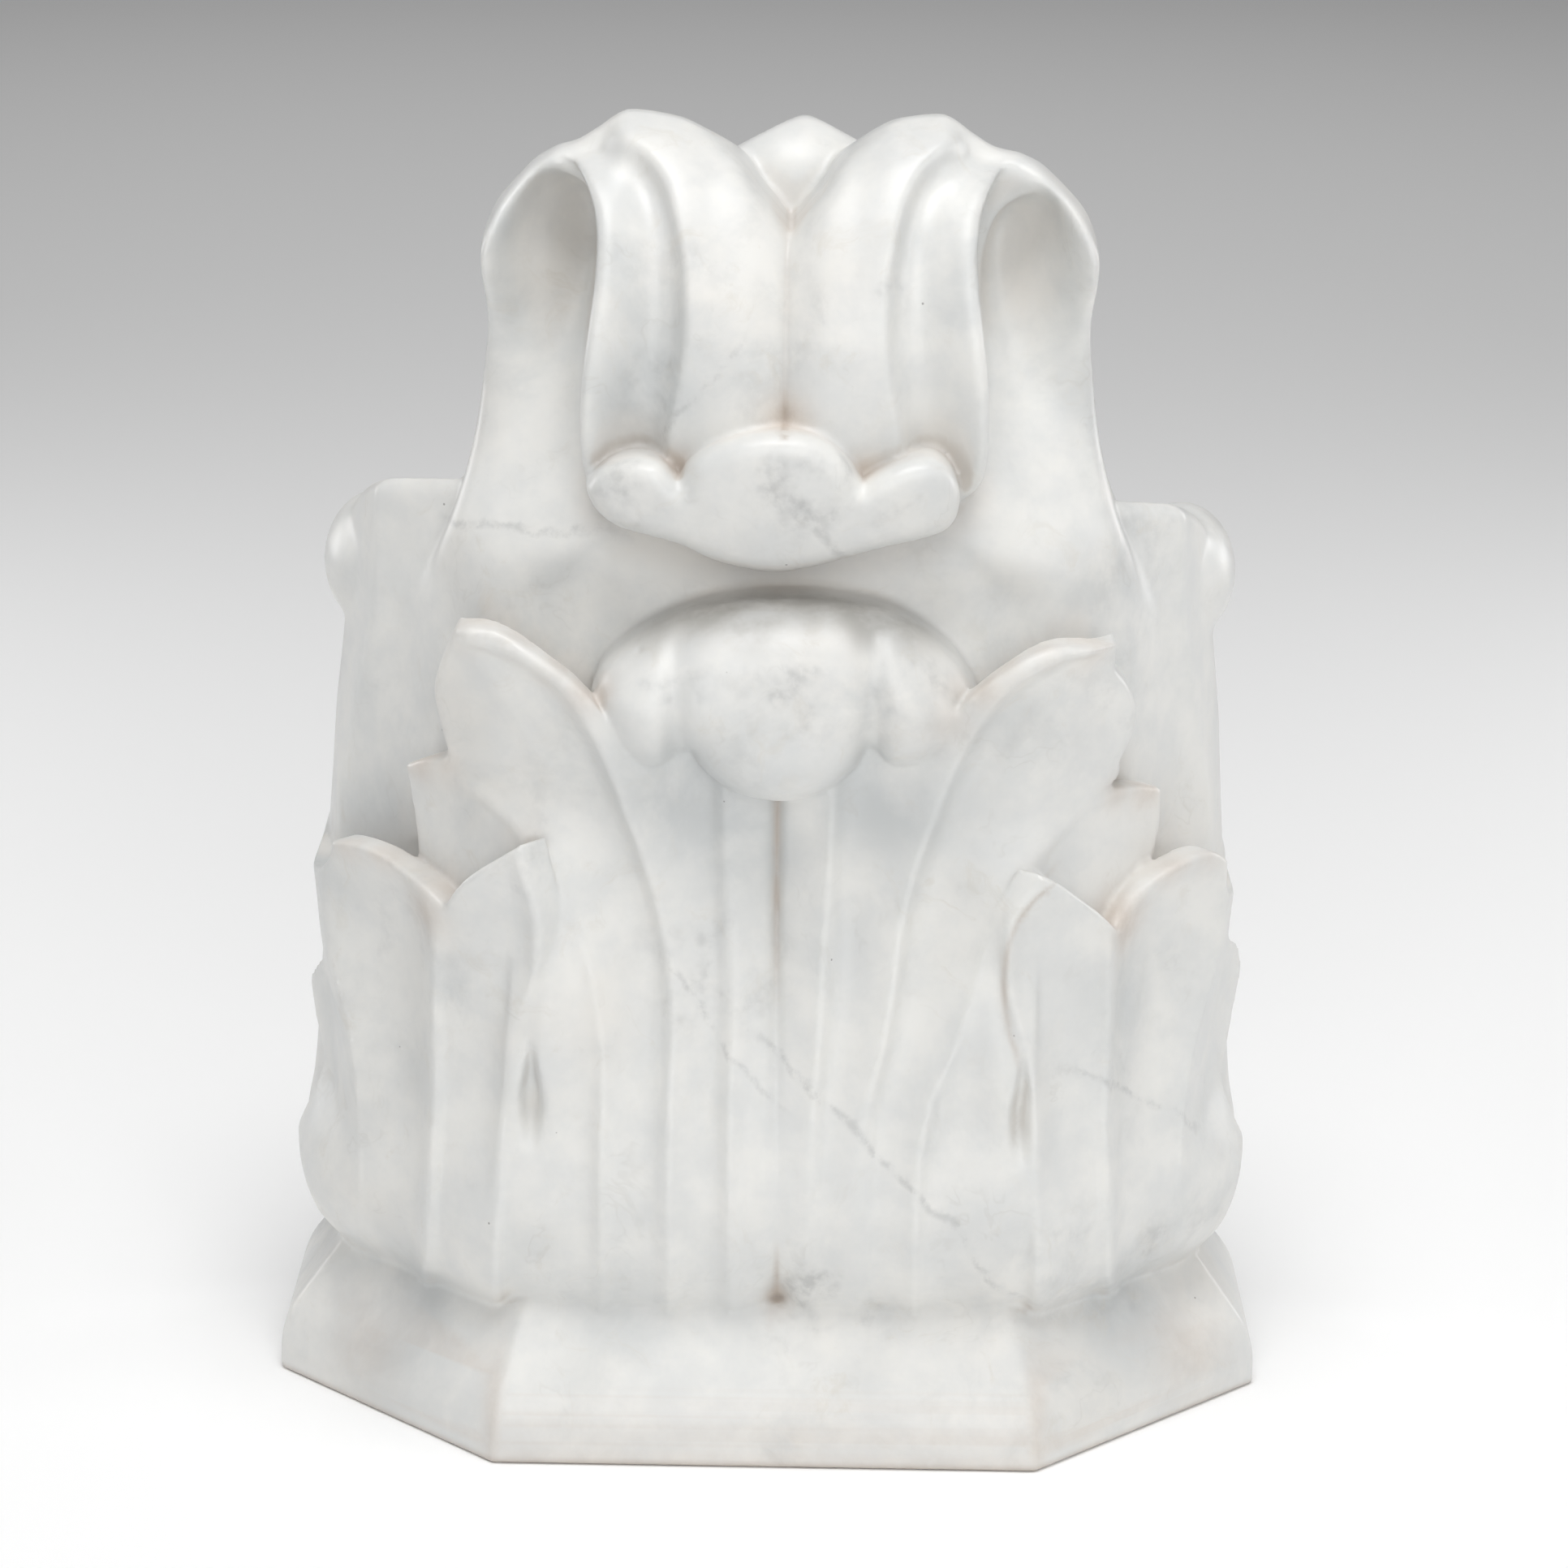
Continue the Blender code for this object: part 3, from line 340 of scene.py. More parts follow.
def block(x, d, z):
    """The bell of the corbel up to its shoulders: chamfer facets, narrow strips and side faces."""
    across = np.abs(x)
    side = across - WIDTH / 2 + SIDE_IN(z)
    chamfer_in = CORE_CHAMFER_IN(z)
    arris = SIDE_ARRIS(z)
    arris_d = arris - FRONT_HALF + chamfer_in * ROOT2
    turn = 1 - 0.4 * ramp(z, 240, 320)
    chamfer = (turn * (across - arris) - (d - arris_d)) / np.sqrt(1 + turn * turn)
    slope = (WIDTH / 2 - SIDE_IN(z) - arris) / STRIP_LENGTH
    strip = (across - arris - slope * (d - arris_d)) / np.sqrt(1 + slope * slope)
    front = CORE_FRONT_IN(z) - d
    top = z - (SHOULDER_TOP - SHOULDER_TILT * x) + SHOULDER_FALL * (d - SHOULDER_ARRIS)
    rolled = top + 0.035 * np.maximum(across - 146, 0) ** 2
    flank = smooth_max(smooth_max(side, strip, 3), rolled, 6)
    return smooth_max(smooth_max(smooth_max(front, chamfer, 10), flank, 1.5), top, 12)


def side_curls(x, d, z):
    """The tip of each side leaf, curled outwards under its shoulder and cut through by the back."""
    return ellipsoid(np.abs(x), d, z, SIDE_CURL_MIDDLE, SIDE_CURL_RADII)


# ------------ tall leaf

TALL_HALF = by_height([
    (250, 138), (296, 137.5), (315, 134), (330, 129.5), (350, 122), (376, 115.5), (397, 112.5),
    (419, 110.5), (446, 112), (458, 109.5), (475, 103)])
STEM_MIDDLE = by_height([(230, 44), (300, 46), (330, 52), (345, 58), (370, 69), (400, 77), (430, 80)])
STEM_EDGE = by_height([
    (250, 50), (300, 50), (315, 42), (330, 30), (345, 20), (360, 17), (376, 14), (400, 7), (420, -4),
    (440, -20), (455, -24), (470, -20)])
HOLLOW = by_height([(340, -8), (385, 3), (410, 10), (435, 20), (455, 27)])
TOP_LIFT = by_height([
    (0, -12), (24, -8), (40, -2), (56, 0), (68, -6), (77, -11), (84, -12.5), (92, -14), (100, -16),
    (114, -19)])
DROOP_HALF = by_height([
    (336, 20), (345, 45), (352, 62), (361, 69), (372, 72.5), (383, 73.5), (400, 73), (427, 70),
    (440, 68.5), (452, 68), (462, 69), (470, 72), (477, 78), (484, 90)])
RIB = by_height([
    (340, 44), (388, 41), (409, 37.5), (425, 36), (444, 36.5), (459, 39), (470, 42.5), (480, 48),
    (489, 57), (494, 68)])
NOTCH_HALF = by_height([
    (436, -18), (447, -8), (454, -1), (459, 3), (463, 6), (470, 12), (478, 17), (485, 24), (500, 38)])
NICHE_LEFT = stencil(outline(
    [(-66, 300), (-66, 340), (-68, 400), (-65, 440), (-66, 456), (-72, 468), (-84, 474), (-95, 471),
     (-103, 460), (-106, 444), (-104, 425), (-102, 400), (-104, 370), (-106, 300)],
    [(-106, 300), (-66, 300)]))
NICHE_RIGHT = stencil(outline(
    [(70, 300), (70, 340), (72, 400), (70, 428), (71, 446), (77, 462), (90, 470.5), (101, 469),
     (108, 459), (110.5, 443), (109.5, 420), (108, 400), (109, 370), (111, 300)],
    [(111, 300), (70, 300)]))


def stem_front(x, z):
    """Depth of the tall leaf's front face."""
    out = np.abs(x - TALL_MIDDLE) / TALL_HALF(z)
    return STEM_MIDDLE(z) + STEM_EDGE(z) * out ** 5


STEM_FRONT = Relief(stem_front, (-150.0, 200.0), (150.0, 505.0), 0.5)


def arch(x, d, z):
    """The wave of the leaf seen from the side, up from the flat back and over to the front."""
    height = z - TOP_LIFT(np.abs(x))
    dome = ellipsoid(0.0, d, height, (0.0, *ARCH_CENTRE), (1.0, *ARCH_RADII))
    column = smooth_max(COLUMN_FRONT - d, height - COLUMN_TOP, 20)
    return smooth_min(dome, column, 16)


def droop(x, d, z, wave):
    """The two ribbed halves of the leaf that hang forward."""
    across = np.abs(x - DROOP_MIDDLE)
    strip = DROOP_FLUTE * flute(across, z, RIB, DROOP_HALF, 8.0) * (1 - ramp(z, 468, 495))
    strip = strip - 1.2 * bead(across, z, RIB) * (1 - ramp(z, 455, 480))
    groove = 4.5 * crease(across, 3.0) + 4.0 * np.exp(-(across / 9.0) ** 2)
    under = DROOP_UNDERSIDE + 0.0048 * x * x - z
    hanging = smooth_max(wave + strip + groove, across - DROOP_HALF(z), 8)
    return smooth_max(hanging, under, 8)


def tall_leaf(x, d, z):
    """Stem, side hollows, drooping halves, the notch between them and the bud behind it."""
    wave = arch(x, d, z)
    stem = smooth_max(wave, np.abs(x - TALL_MIDDLE) - TALL_HALF(z), 25)
    front = STEM_FRONT(x, z)
    stem = smooth_max(stem, front - d, 6)
    stem = np.maximum(stem, TALL_FOOT - z)
    niche = np.where(x < 0, NICHE_LEFT(x, z), NICHE_RIGHT(x, z) + 2)
    inward = ramp(112 - np.abs(x - TALL_MIDDLE), 0, 48)
    niche = smooth_max(niche, 0.8 * (d - front - HOLLOW(z) * (0.2 + inward)), 17)
    stem = smooth_max(stem, -niche, 6)
    leaf = smooth_min(stem, droop(x, d, z, wave), 3)
    notch = smooth_max(np.abs(x - TALL_MIDDLE) - NOTCH_HALF(z), d - NOTCH_BACK, 6)
    leaf = smooth_max(leaf, -notch, 7)
    peak = BUD_PEAK - 0.55 * np.sqrt((x - 7) ** 2 + 9) - 0.16 * np.maximum(d - 110, 0)
    bud = smooth_max(ellipsoid(x, d, np.maximum(z, BUD_MIDDLE[2]), BUD_MIDDLE, BUD_RADII), z - peak, 4)
    bud = np.maximum(bud, TALL_FOOT - z)
    return smooth_min(leaf, bud, 3)


LIP = stencil(outline(
    [(-70, 365), (-67, 371), (-61, 376), (-52, 378), (-43, 377), (-36, 371)],
    [(-36, 371), (-32, 378), (-24, 384), (-12, 388.5), (1, 390), (13, 388), (23, 381), (30, 371)],
    [(30, 371), (36, 375), (45, 379), (54, 380), (60, 377), (64, 370), (65, 361), (62, 353), (54, 349),
     (37, 345), (24, 341), (11, 337), (-2, 335), (-15, 337), (-25, 340), (-35, 345), (-46, 348),
     (-58, 351), (-66, 357), (-70, 365)]))


def lip(x, d, z):
    """The tip of the tall leaf, turned forward and up in three lobes."""
    shape = LIP(x, z)
    face = 13.0 + 0.0022 * x * x + 16.0 * np.clip((392 - z) / 56.0, 0, 1.2) ** 2
    lean = 0.35 * np.clip(374 - z, 0, 40)
    for notch in (LIP_NOTCHES[0] + lean, LIP_NOTCHES[1] - lean):
        face = face + 3.0 * np.exp(-((x - notch) / 5.0) ** 2) * ramp(z, 352, 380)
    return smooth_max(shape, np.maximum(face + pillow(shape, 8.0) - d, d - COLUMN_FRONT), 3)


# ------------ lower leaf

BULB = stencil(outline(
    [(-67.5, 291), (-62, 302), (-50, 312), (-34, 320), (-16, 324.5), (2, 326), (20, 325.5), (42, 321),
     (60, 310), (70, 298), (74, 286), (66, 274), (54, 267), (42, 267), (34, 272)],
    [(34, 272), (28, 264), (16, 256), (2, 253), (-14, 256), (-26, 264), (-31, 271)],
    [(-31, 271), (-41, 265), (-52, 267), (-63, 278), (-67.5, 291)]))
UPPER_LEFT = stencil(outline(
    [(-60, 200), (-75, 212), (-80, 222), (-91, 242)],
    [(-91, 242), (-106, 256), (-118, 262), (-123, 276), (-125, 289), (-121, 303), (-115, 317.5)],
    [(-115, 317.5), (-108, 318.5), (-99, 317), (-89, 312), (-79, 305), (-71, 298), (-62, 287),
     (-50, 270)],
    [(-50, 270), (-40, 200)],
    [(-40, 200), (-60, 200)]))
UPPER_RIGHT = stencil(outline(
    [(62, 195), (73, 205), (84, 219), (97, 231)],
    [(97, 231), (109, 245), (121, 254), (129, 268), (132.5, 280), (129, 292), (123, 301)],
    [(123, 301), (123, 312)],
    [(123, 312), (112, 314), (99, 314.5), (90, 311.5), (83, 307), (76, 301.5), (67, 293), (55, 278)],
    [(55, 278), (40, 200)],
    [(40, 200), (62, 195)]))
BLADE = stencil(outline(
    [(-107, 30), (-105, 90), (-99.5, 130), (-96, 190), (-93, 228), (-95, 239), (-104, 246),
     (-114, 253), (-121, 260), (-112, 268), (-62, 270)],
    [(-62, 270), (-40, 292), (0, 296), (50, 290), (66, 270)],
    [(66, 270), (118, 266), (127, 258), (117, 249), (107, 240), (99, 230), (97, 205), (98, 190),
     (98, 130), (104, 90), (107, 30)],
    [(107, 30), (-107, 30)]))
PAIR_LEFT = stencil(outline(
    [(-102, 30), (-101, 80), (-99, 141), (-97, 160), (-91, 177), (-86.5, 192), (-85, 207), (-88, 222),
     (-92, 240)],
    [(-92, 240), (-100, 234), (-109, 227), (-116, 219.5), (-122, 209)],
    [(-122, 209), (-128, 213.5), (-137, 218), (-147, 221.5), (-157, 222.5), (-167, 221)],
    [(-167, 221), (-172, 208), (-195, 190)],
    [(-195, 190), (-200, 30)],
    [(-200, 30), (-102, 30)]))
PAIR_RIGHT = stencil(outline(
    [(102, 30), (100, 90), (98, 138), (95, 158), (89, 180), (87, 196), (88, 210), (98, 230)],
    [(98, 230), (105, 226), (113, 219), (121, 211), (129, 201)],
    [(129, 201), (136, 211), (146, 219), (158, 223), (166, 222.5), (172, 217)],
    [(172, 217), (175, 200), (195, 185)],
    [(195, 185), (200, 30)],
    [(200, 30), (102, 30)]))
MIDDLE_LEFT = stencil(outline(
    [(-138, 255), (-128, 260.5), (-117, 260), (-104, 252), (-92, 240), (-84, 226)],
    [(-84, 226), (-84, 150)],
    [(-84, 150), (-126, 150), (-134, 228), (-136, 242), (-138, 255)]))
MIDDLE_RIGHT = stencil(outline(
    [(144.5, 248), (134, 252), (122, 252), (109, 246), (97, 232), (88, 216)],
    [(88, 216), (88, 150)],
    [(88, 150), (132, 150), (143, 222), (145, 235), (144.5, 248)]))
SIDE_LOBE_LEFT = stencil(outline(
    [(50, 30), (50, 100), (60, 150), (80, 172)],
    [(80, 172), (95, 170), (110, 161), (124, 149)],
    [(124, 149), (122, 136), (114, 124), (110, 112), (112, 98), (120, 84), (126, 60), (128, 30)],
    [(128, 30), (50, 30)]))
SIDE_LOBE_RIGHT = stencil(outline(
    [(50, 30), (50, 100), (60, 150), (80, 178)],
    [(80, 178), (100, 178), (114, 173), (122, 163)],
    [(122, 163), (124, 146), (120, 130), (112, 116), (112, 102), (120, 88), (126, 60), (128, 30)],
    [(128, 30), (50, 30)]))

BLADE_IN = by_height([
    (30, 38), (45, 30), (55, 23), (65, 17), (80, 12), (100, 9.5), (140, 12), (180, 16), (215, 18.5),
    (245, 18), (275, 12), (300, 6.5), (318, 3)])
MIDRIB = by_height([(50, 3.5), (160, 2), (255, 1)])
RIB_EDGE = by_height([(40, 4), (250, 4)])
FLUTE_INNER = by_height([(40, 14), (66, 14.5), (175, 17), (252, 20)])
FLUTE_MIDDLE = by_height([
    (40, 35.6), (120, 36), (160, 39), (200, 43), (230, 50), (247, 56), (262, 61), (277, 67), (290, 74),
    (298, 80), (305, 88.5), (310, 99), (312.5, 110), (314, 120)])
FLUTE_OUTER = by_height([
    (40, 59), (99, 58.5), (139, 60.5), (163, 65), (188, 70.5), (205, 76), (215, 80.5), (225, 88),
    (236, 97), (248, 108), (262, 120), (290, 132), (312, 132)])
SWAY = by_height([(60, -3.5), (110, -3.5), (139, -1.5), (163, 3), (188, 4.5), (215, 3.5), (262, 2)])
LOBE_RIB = by_height([(235, 68), (260, 80), (275, 89), (290, 98), (300, 105), (311, 113)])
PAIR_IN = by_height([
    (30, 36), (45, 26), (52, 20), (62, 12.5), (75, 8), (90, 6), (120, 7), (150, 8.5), (180, 8),
    (205, 5.5), (225, 3)])
PAIR_TOP = by_height([
    (86, 240), (92, 239), (100, 233), (110, 225), (117, 217), (125, 206), (130, 211), (137, 217),
    (147, 221.5), (158, 223), (167, 221), (175, 208)])
PAIR_RIDGE = by_height([(50, 131), (66, 129.5), (105, 127.5), (138, 126), (170, 126), (200, 125)])
PAIR_OUTER = by_height([
    (60, 158), (87, 156.5), (112, 157), (142, 160.5), (160, 165), (182, 170), (222, 172)])
PAIR_INNER = by_height([
    (60, 101), (103, 99.5), (141, 98.5), (159, 97), (176, 91), (191, 87), (210, 87), (235, 93)])
MIDDLE_IN = by_height([(190, 17), (205, 18), (220, 18), (245, 17), (256, 14)])
SIDE_LOBE_IN = by_height([
    (40, 28), (52, 18), (64, 10), (80, 6), (92, 5), (105, 8.5), (117, 10.5), (130, 7.5), (145, 4.5),
    (160, 5), (178, 8)])
GROOVE_LEFT = by_height([(150, 96), (159, 95), (176, 89), (191, 83.5), (207, 82), (222, 85), (240, 90)])
GROOVE_RIGHT = by_height([
    (148, 92), (159, 90.5), (170, 87), (188, 85), (200, 85.5), (210, 88.5), (220, 95), (232, 106)])


def scoop(value, inner, outer, lean):
    """A hollow band, 1 at its deepest, which lies nearer to inner when lean is below 1."""
    t = np.clip((value - inner) / (outer - inner), 0, 1)
    return np.sin(np.pi * t ** lean)


def blade_in(x, z):
    """How far the broad middle blade lies behind the plinth's faces: flutes, midrib and eyes."""
    across = np.abs(x - 1)
    grow = 0.45 + 0.55 * ramp(z, 60, 170)
    foot = 1 - ramp(z, 50, 85)
    depth = BLADE_IN(z) + (3.5 + 8.5 * ramp(z, 100, 200)) * crease(x - MIDRIB(z), 5.0)
    depth += 7.0 * foot * np.exp(-((x - 3.5) / 5.0) ** 2)
    depth += 5.0 * np.exp(-(x / 42.0) ** 2) * ramp(z, 160, 235)
    outside = np.abs(x - SWAY(z))
    inside = np.abs(x - 1 - 0.5 * SWAY(z))
    depth = depth - 1.0 * bead(across, z, FLUTE_INNER) - 1.0 * bead(inside, z, FLUTE_MIDDLE)
    depth -= 1.0 * bead(outside, z, FLUTE_OUTER) * (1 - ramp(z, 200, 225))
    depth -= 3.0 * bead(across, z, LOBE_RIB, 6.0) * ramp(z, 245, 275)
    depth += grow * 4.5 * flute(across, z, RIB_EDGE, FLUTE_INNER, 4.0)
    depth += grow * 11.0 * flute(inside, z, FLUTE_INNER, FLUTE_MIDDLE, 5.0)
    deepest = grow * 14.0 + 3.0 * ramp(z, 230, 285)
    depth += deepest * flute(outside, z, FLUTE_MIDDLE, FLUTE_OUTER, 7.0)
    low = 1 - ramp(z, 125, 175)
    depth += 10.0 * grow * low * flute(outside, z, FLUTE_OUTER, PAIR_INNER, 5.0)
    depth -= 4.0 * ramp(across, 70, 86) * ramp(z, 120, 150) * (1 - ramp(z, 200, 238))
    for side, groove, cut, width in ((-1, GROOVE_LEFT, 0.5, 4.0), (1, GROOVE_RIGHT, 2.0, 3.0)):
        away = np.abs(np.abs(x) - groove(z))
        cut = cut * np.exp(-(away / width) ** 1.5) * ramp(z, 150, 172) * (1 - ramp(z, 226, 238))
        depth += np.where(x * side > 0, cut, 0.0)
    for eye_x, eye_z in EYES:
        half = EYE_HALF[0] * (1 - 0.45 * ramp(z, eye_z - 6, eye_z + EYE_HALF[1]))
        reach = np.sqrt(((x - eye_x) / half) ** 2 + ((z - eye_z) / EYE_HALF[1]) ** 2)
        depth += EYE_DEPTH * np.exp(-reach ** 3.2)
    return depth


def pair_in(x, z):
    """The two side lobes on a chamfer: two leaning scoops with an arris between them."""
    across = np.abs(x)
    grow = 0.15 + 0.85 * ramp(z, 60, 150)
    spoon = 1 - np.exp(-np.maximum(PAIR_TOP(across) - z, 0) / 14.0)
    scoops = 20.0 * flute(across, z, PAIR_RIDGE, PAIR_OUTER, 10.0)
    scoops += 11.0 * flute(across, z, PAIR_INNER, PAIR_RIDGE, 5.0)
    crests = 3.0 * bead(across, z, PAIR_RIDGE, 3.4) * (1 - ramp(z, 190, 205))
    beyond = across - PAIR_OUTER(z)
    away = 0.5 * (beyond + np.sqrt(beyond * beyond + 9))
    return PAIR_IN(z) + grow * spoon * scoops - crests + away * ramp(z, 82, 118)


BLADE_RELIEF = Relief(blade_in, (-136.0, 28.0), (136.0, 330.0), 0.5)
PAIR_RELIEF = Relief(pair_in, (-200.0, 28.0), (200.0, 260.0), 0.5)


def plate(face, depth, x, z, shape, thickness, fall, lean=0.0):
    """A lobe: its outline, leaning inwards as it goes back; behind its thickness its top falls away."""
    behind = -(face + depth)
    dropped = z + fall * np.maximum(behind - thickness, 0.0)
    moved = x + lean * np.sign(x) * np.clip(behind, 0.0, thickness)
    return smooth_max(face + depth, shape(moved, dropped) / np.sqrt(1 + lean * lean), RIM)


def side_leaf(x, d, z):
    """The last lobe, round the corner on each side face, with the drilled eye behind it."""
    across = np.abs(x)
    side = across - WIDTH / 2
    arris = PAIR_OUTER(z)
    arris_d = arris - FRONT_HALF + ROOT2 * PAIR_IN(z)
    low = 1 - ramp(z, 78, 124)
    slope = SIDE_STRIP_SLOPE + (1 - SIDE_STRIP_SLOPE) * low
    strip = (across - arris - slope * (d - arris_d)) / np.sqrt(1 + slope * slope)
    strip = strip + 3.0 * (1 - low) * scoop(d - arris_d, 0.0, 45.0, 0.7)
    shape = np.where(x < 0, SIDE_LOBE_LEFT(d, z), SIDE_LOBE_RIGHT(d, z))
    lobes = smooth_max(smooth_max(side + SIDE_LOBE_IN(z), strip, 4 + 14 * low), shape, RIM)
    return np.maximum(lobes, arris - across)


def lower_leaf(x, d, z):
    """The leaf wrapped round the front and the chamfers: a blade and its pairs of lobes."""
    face = octagon_faces(x, d, 18)
    depth = BLADE_RELIEF(x, z)
    leaf = smooth_max(face + depth, BLADE(x, z), RIM)
    for shape in (UPPER_LEFT, UPPER_RIGHT):
        leaf = smooth_min(leaf, plate(face, depth, x, z, shape, 13, 2.0), 1)
    sunk = MIDDLE_IN(z) + 2.5 * ramp(132 - np.abs(x), 0, 30) * ramp(z, 212, 236)
    for shape in (MIDDLE_LEFT, MIDDLE_RIGHT):
        leaf = smooth_min(leaf, plate(face, sunk, x, z, shape, 12, 2.0, 0.6), 2)
    depth = PAIR_RELIEF(x, z)
    for shape in (PAIR_LEFT, PAIR_RIGHT):
        leaf = smooth_min(leaf, plate(face, depth, x, z, shape, 13, 2.0, 0.7), 2)
    return smooth_min(leaf, side_leaf(x, d, z), 2)


def bulb(x, d, z):
    """The tip of the lower leaf, curled forward in three lobes."""
    shape = BULB(x, z)
    low = 1 - ramp(z, 268, 312)
    grooves = (2.5 + 2.5 * low) * sum(np.exp(-((x - groove) / 5.0) ** 2) for groove in BULB_GROOVES)
    for knob in BULB_KNOBS:
        grooves = grooves - 2.2 * np.exp(-((x - knob) / 13.0) ** 2 - ((z - 287) / 15.0) ** 2)
    face = 3.0 + 0.0014 * x * x + 0.0035 * np.maximum(z - 285, 0) ** 2 + pillow(shape, 22.0) + grooves
    return smooth_max(shape, np.maximum(face - d, d - BULB_BACK), 3)


# ------------ the carving

def carving(x, d, z):
    """Everything above the plinth's bevel, as one distance field."""
    face = STEM_FRONT(x, z) + 4
    cleared = smooth_max(np.maximum(np.abs(x - TALL_MIDDLE) - TALL_HALF(z), d - face), 250 - z, 10)
    body = smooth_max(block(x, d, z), -cleared, 2)
    cove = 2 + 12 * (1 - ramp(z, 300, 345))
    for part, blend in ((side_curls, 3), (tall_leaf, cove), (lower_leaf, 3), (lip, 2), (bulb, 2.5)):
        body = smooth_min(body, part(x, d, z), blend)
    return np.maximum(body, LEAF_FOOT - z)


def unpinch(field, depth=0.01):
    """Fills the few grid points where two surfaces would meet at a corner or an edge."""
    pairs = [
        ((0, 0, 0), (0, 1, 1)), ((0, 0, 1), (0, 1, 0)), ((0, 0, 0), (1, 0, 1)), ((0, 0, 1), (1, 0, 0)),
        ((0, 0, 0), (1, 1, 0)), ((0, 1, 0), (1, 0, 0)), ((0, 0, 0), (1, 1, 1)), ((0, 0, 1), (1, 1, 0)),
        ((0, 1, 0), (1, 0, 1)), ((1, 0, 0), (0, 1, 1))]
    for _ in range(40):
        changed = False
        for pair in pairs:
            box = tuple(np.unique([a, b]) if a != b else np.array([0]) for a, b in zip(*pair))
            between = [(i, j, k) for i in box[0] for j in box[1] for k in box[2]]
            between = [at for at in between if at not in pair]

            def shifted(at):
                spans = zip(at, field.shape, box)
                return field[tuple(slice(c, n - (len(o) > 1) + c) for c, n, o in spans)]

            ends = [shifted(at) < 0 for at in pair]
            rest = [shifted(at) < 0 for at in between]
            joined = ends[0] & ends[1] & ~np.any(rest, axis=0)
            parted = ~ends[0] & ~ends[1] & np.all(rest, axis=0)
            for at, pinched in ((between[0], joined), (pair[0], parted)):
                if pinched.any():
                    shifted(at)[pinched] = -depth
                    changed = True
        if not changed:
            break
    return field


def gather_surface(field, corner, cell):
    """Points and quads of the field's zero level: one point in each cell that it crosses."""
    inside = field < 0
    size = np.array(field.shape)
    corners = [np.array([i, j, k]) for i in (0, 1) for j in (0, 1) for k in (0, 1)]
    count = sum(inside[tuple(slice(c, n - 1 + c) for c, n in zip(at, size))].astype(np.int8)
                for at in corners)
    mixed = (count > 0) & (count < 8)
    cells = np.argwhere(mixed)
    number = np.full(mixed.shape, -1)
    number[mixed] = np.arange(len(cells))
    total = np.zeros((len(cells), 3))
    hits = np.zeros((len(cells), 1))
    for start in corners:
        for axis in np.flatnonzero(start == 0):
            end = start + np.eye(3, dtype=int)[axis]
            here = field[tuple((cells + start).T)]
            there = field[tuple((cells + end).T)]
            crossed = (here < 0) != (there < 0)
            along = np.where(crossed, here / np.where(crossed, here - there, 1), 0)
            total += (start + along[:, None] * (end - start)) * crossed[:, None]
            hits += crossed[:, None]
    points = corner + (cells + total / hits) * cell
    quads = []
    for axis in range(3):
        first, second = np.eye(3, dtype=int)[(axis + 1) % 3], np.eye(3, dtype=int)[(axis + 2) % 3]
        low = [slice(1, n - 1) for n in size]
        high = [slice(1, n - 1) for n in size]
        low[axis], high[axis] = slice(0, size[axis] - 1), slice(1, size[axis])
        leaving = inside[tuple(low)]
        edges = np.argwhere(leaving != inside[tuple(high)]) + 1 - np.eye(3, dtype=int)[axis]
        ring = [edges - first - second, edges - second, edges, edges - first]
        quad = np.stack([number[tuple(r.T)] for r in ring], axis=1)
        backward = ~inside[tuple(edges.T)]
        quad[backward] = quad[backward][:, ::-1]
        quads.append(quad)
    return points, np.vstack(quads)


def outer_shell(points, quads):
    """The surface without any closed bubbles inside the stone."""
    label = np.arange(len(points))
    while True:
        lowest = label.copy()
        for corner in quads.T:
            np.minimum.at(lowest, corner, label[quads].min(axis=1))
        lowest = lowest[lowest]
        if np.array_equal(lowest, label):
            break
        label = lowest
    outer = np.bincount(label).argmax()
    used = label == outer
    return points[used], (np.cumsum(used) - 1)[quads[used[quads[:, 0]]]]


def relax(points, quads):
    """Evens out the mesh's points, first inwards and then back out, so that it keeps its size."""
    edges = np.vstack([quads[:, [i, (i + 1) % 4]] for i in range(4)])
    count = np.bincount(edges[:, 0], minlength=len(points))[:, None]
    for factor in (0.55, -0.5) * SMOOTHING_STEPS:
        sums = [np.bincount(edges[:, 0], points[edges[:, 1], axis], len(points)) for axis in range(3)]
        points = points + factor * (np.stack(sums, axis=1) / count - points)
    return points


# ------------ stone block

def half_octagon_prism(x, d, z):
    """The plinth: an upright band, then a bevel up to the leaves."""
    across = np.abs(x)
    plan = np.maximum(np.maximum(-d, (across - d - FRONT_HALF) / ROOT2), across - WIDTH / 2)
    slope = np.radians(BEVEL_SLOPE)
    bevel = plan * np.sin(slope) + (z - FASCIA) * np.cos(slope)
    return np.maximum(smooth_max(plan, bevel, 7), np.maximum(z - BEVEL_TOP, -z))


def corbel(x, d, z):
    """The whole block of marble, sawn flat at its back."""
    stone = smooth_min(carving(x, d, z), half_octagon_prism(x, d, z), 1.5)
    return np.maximum(stone, d - DEPTH)


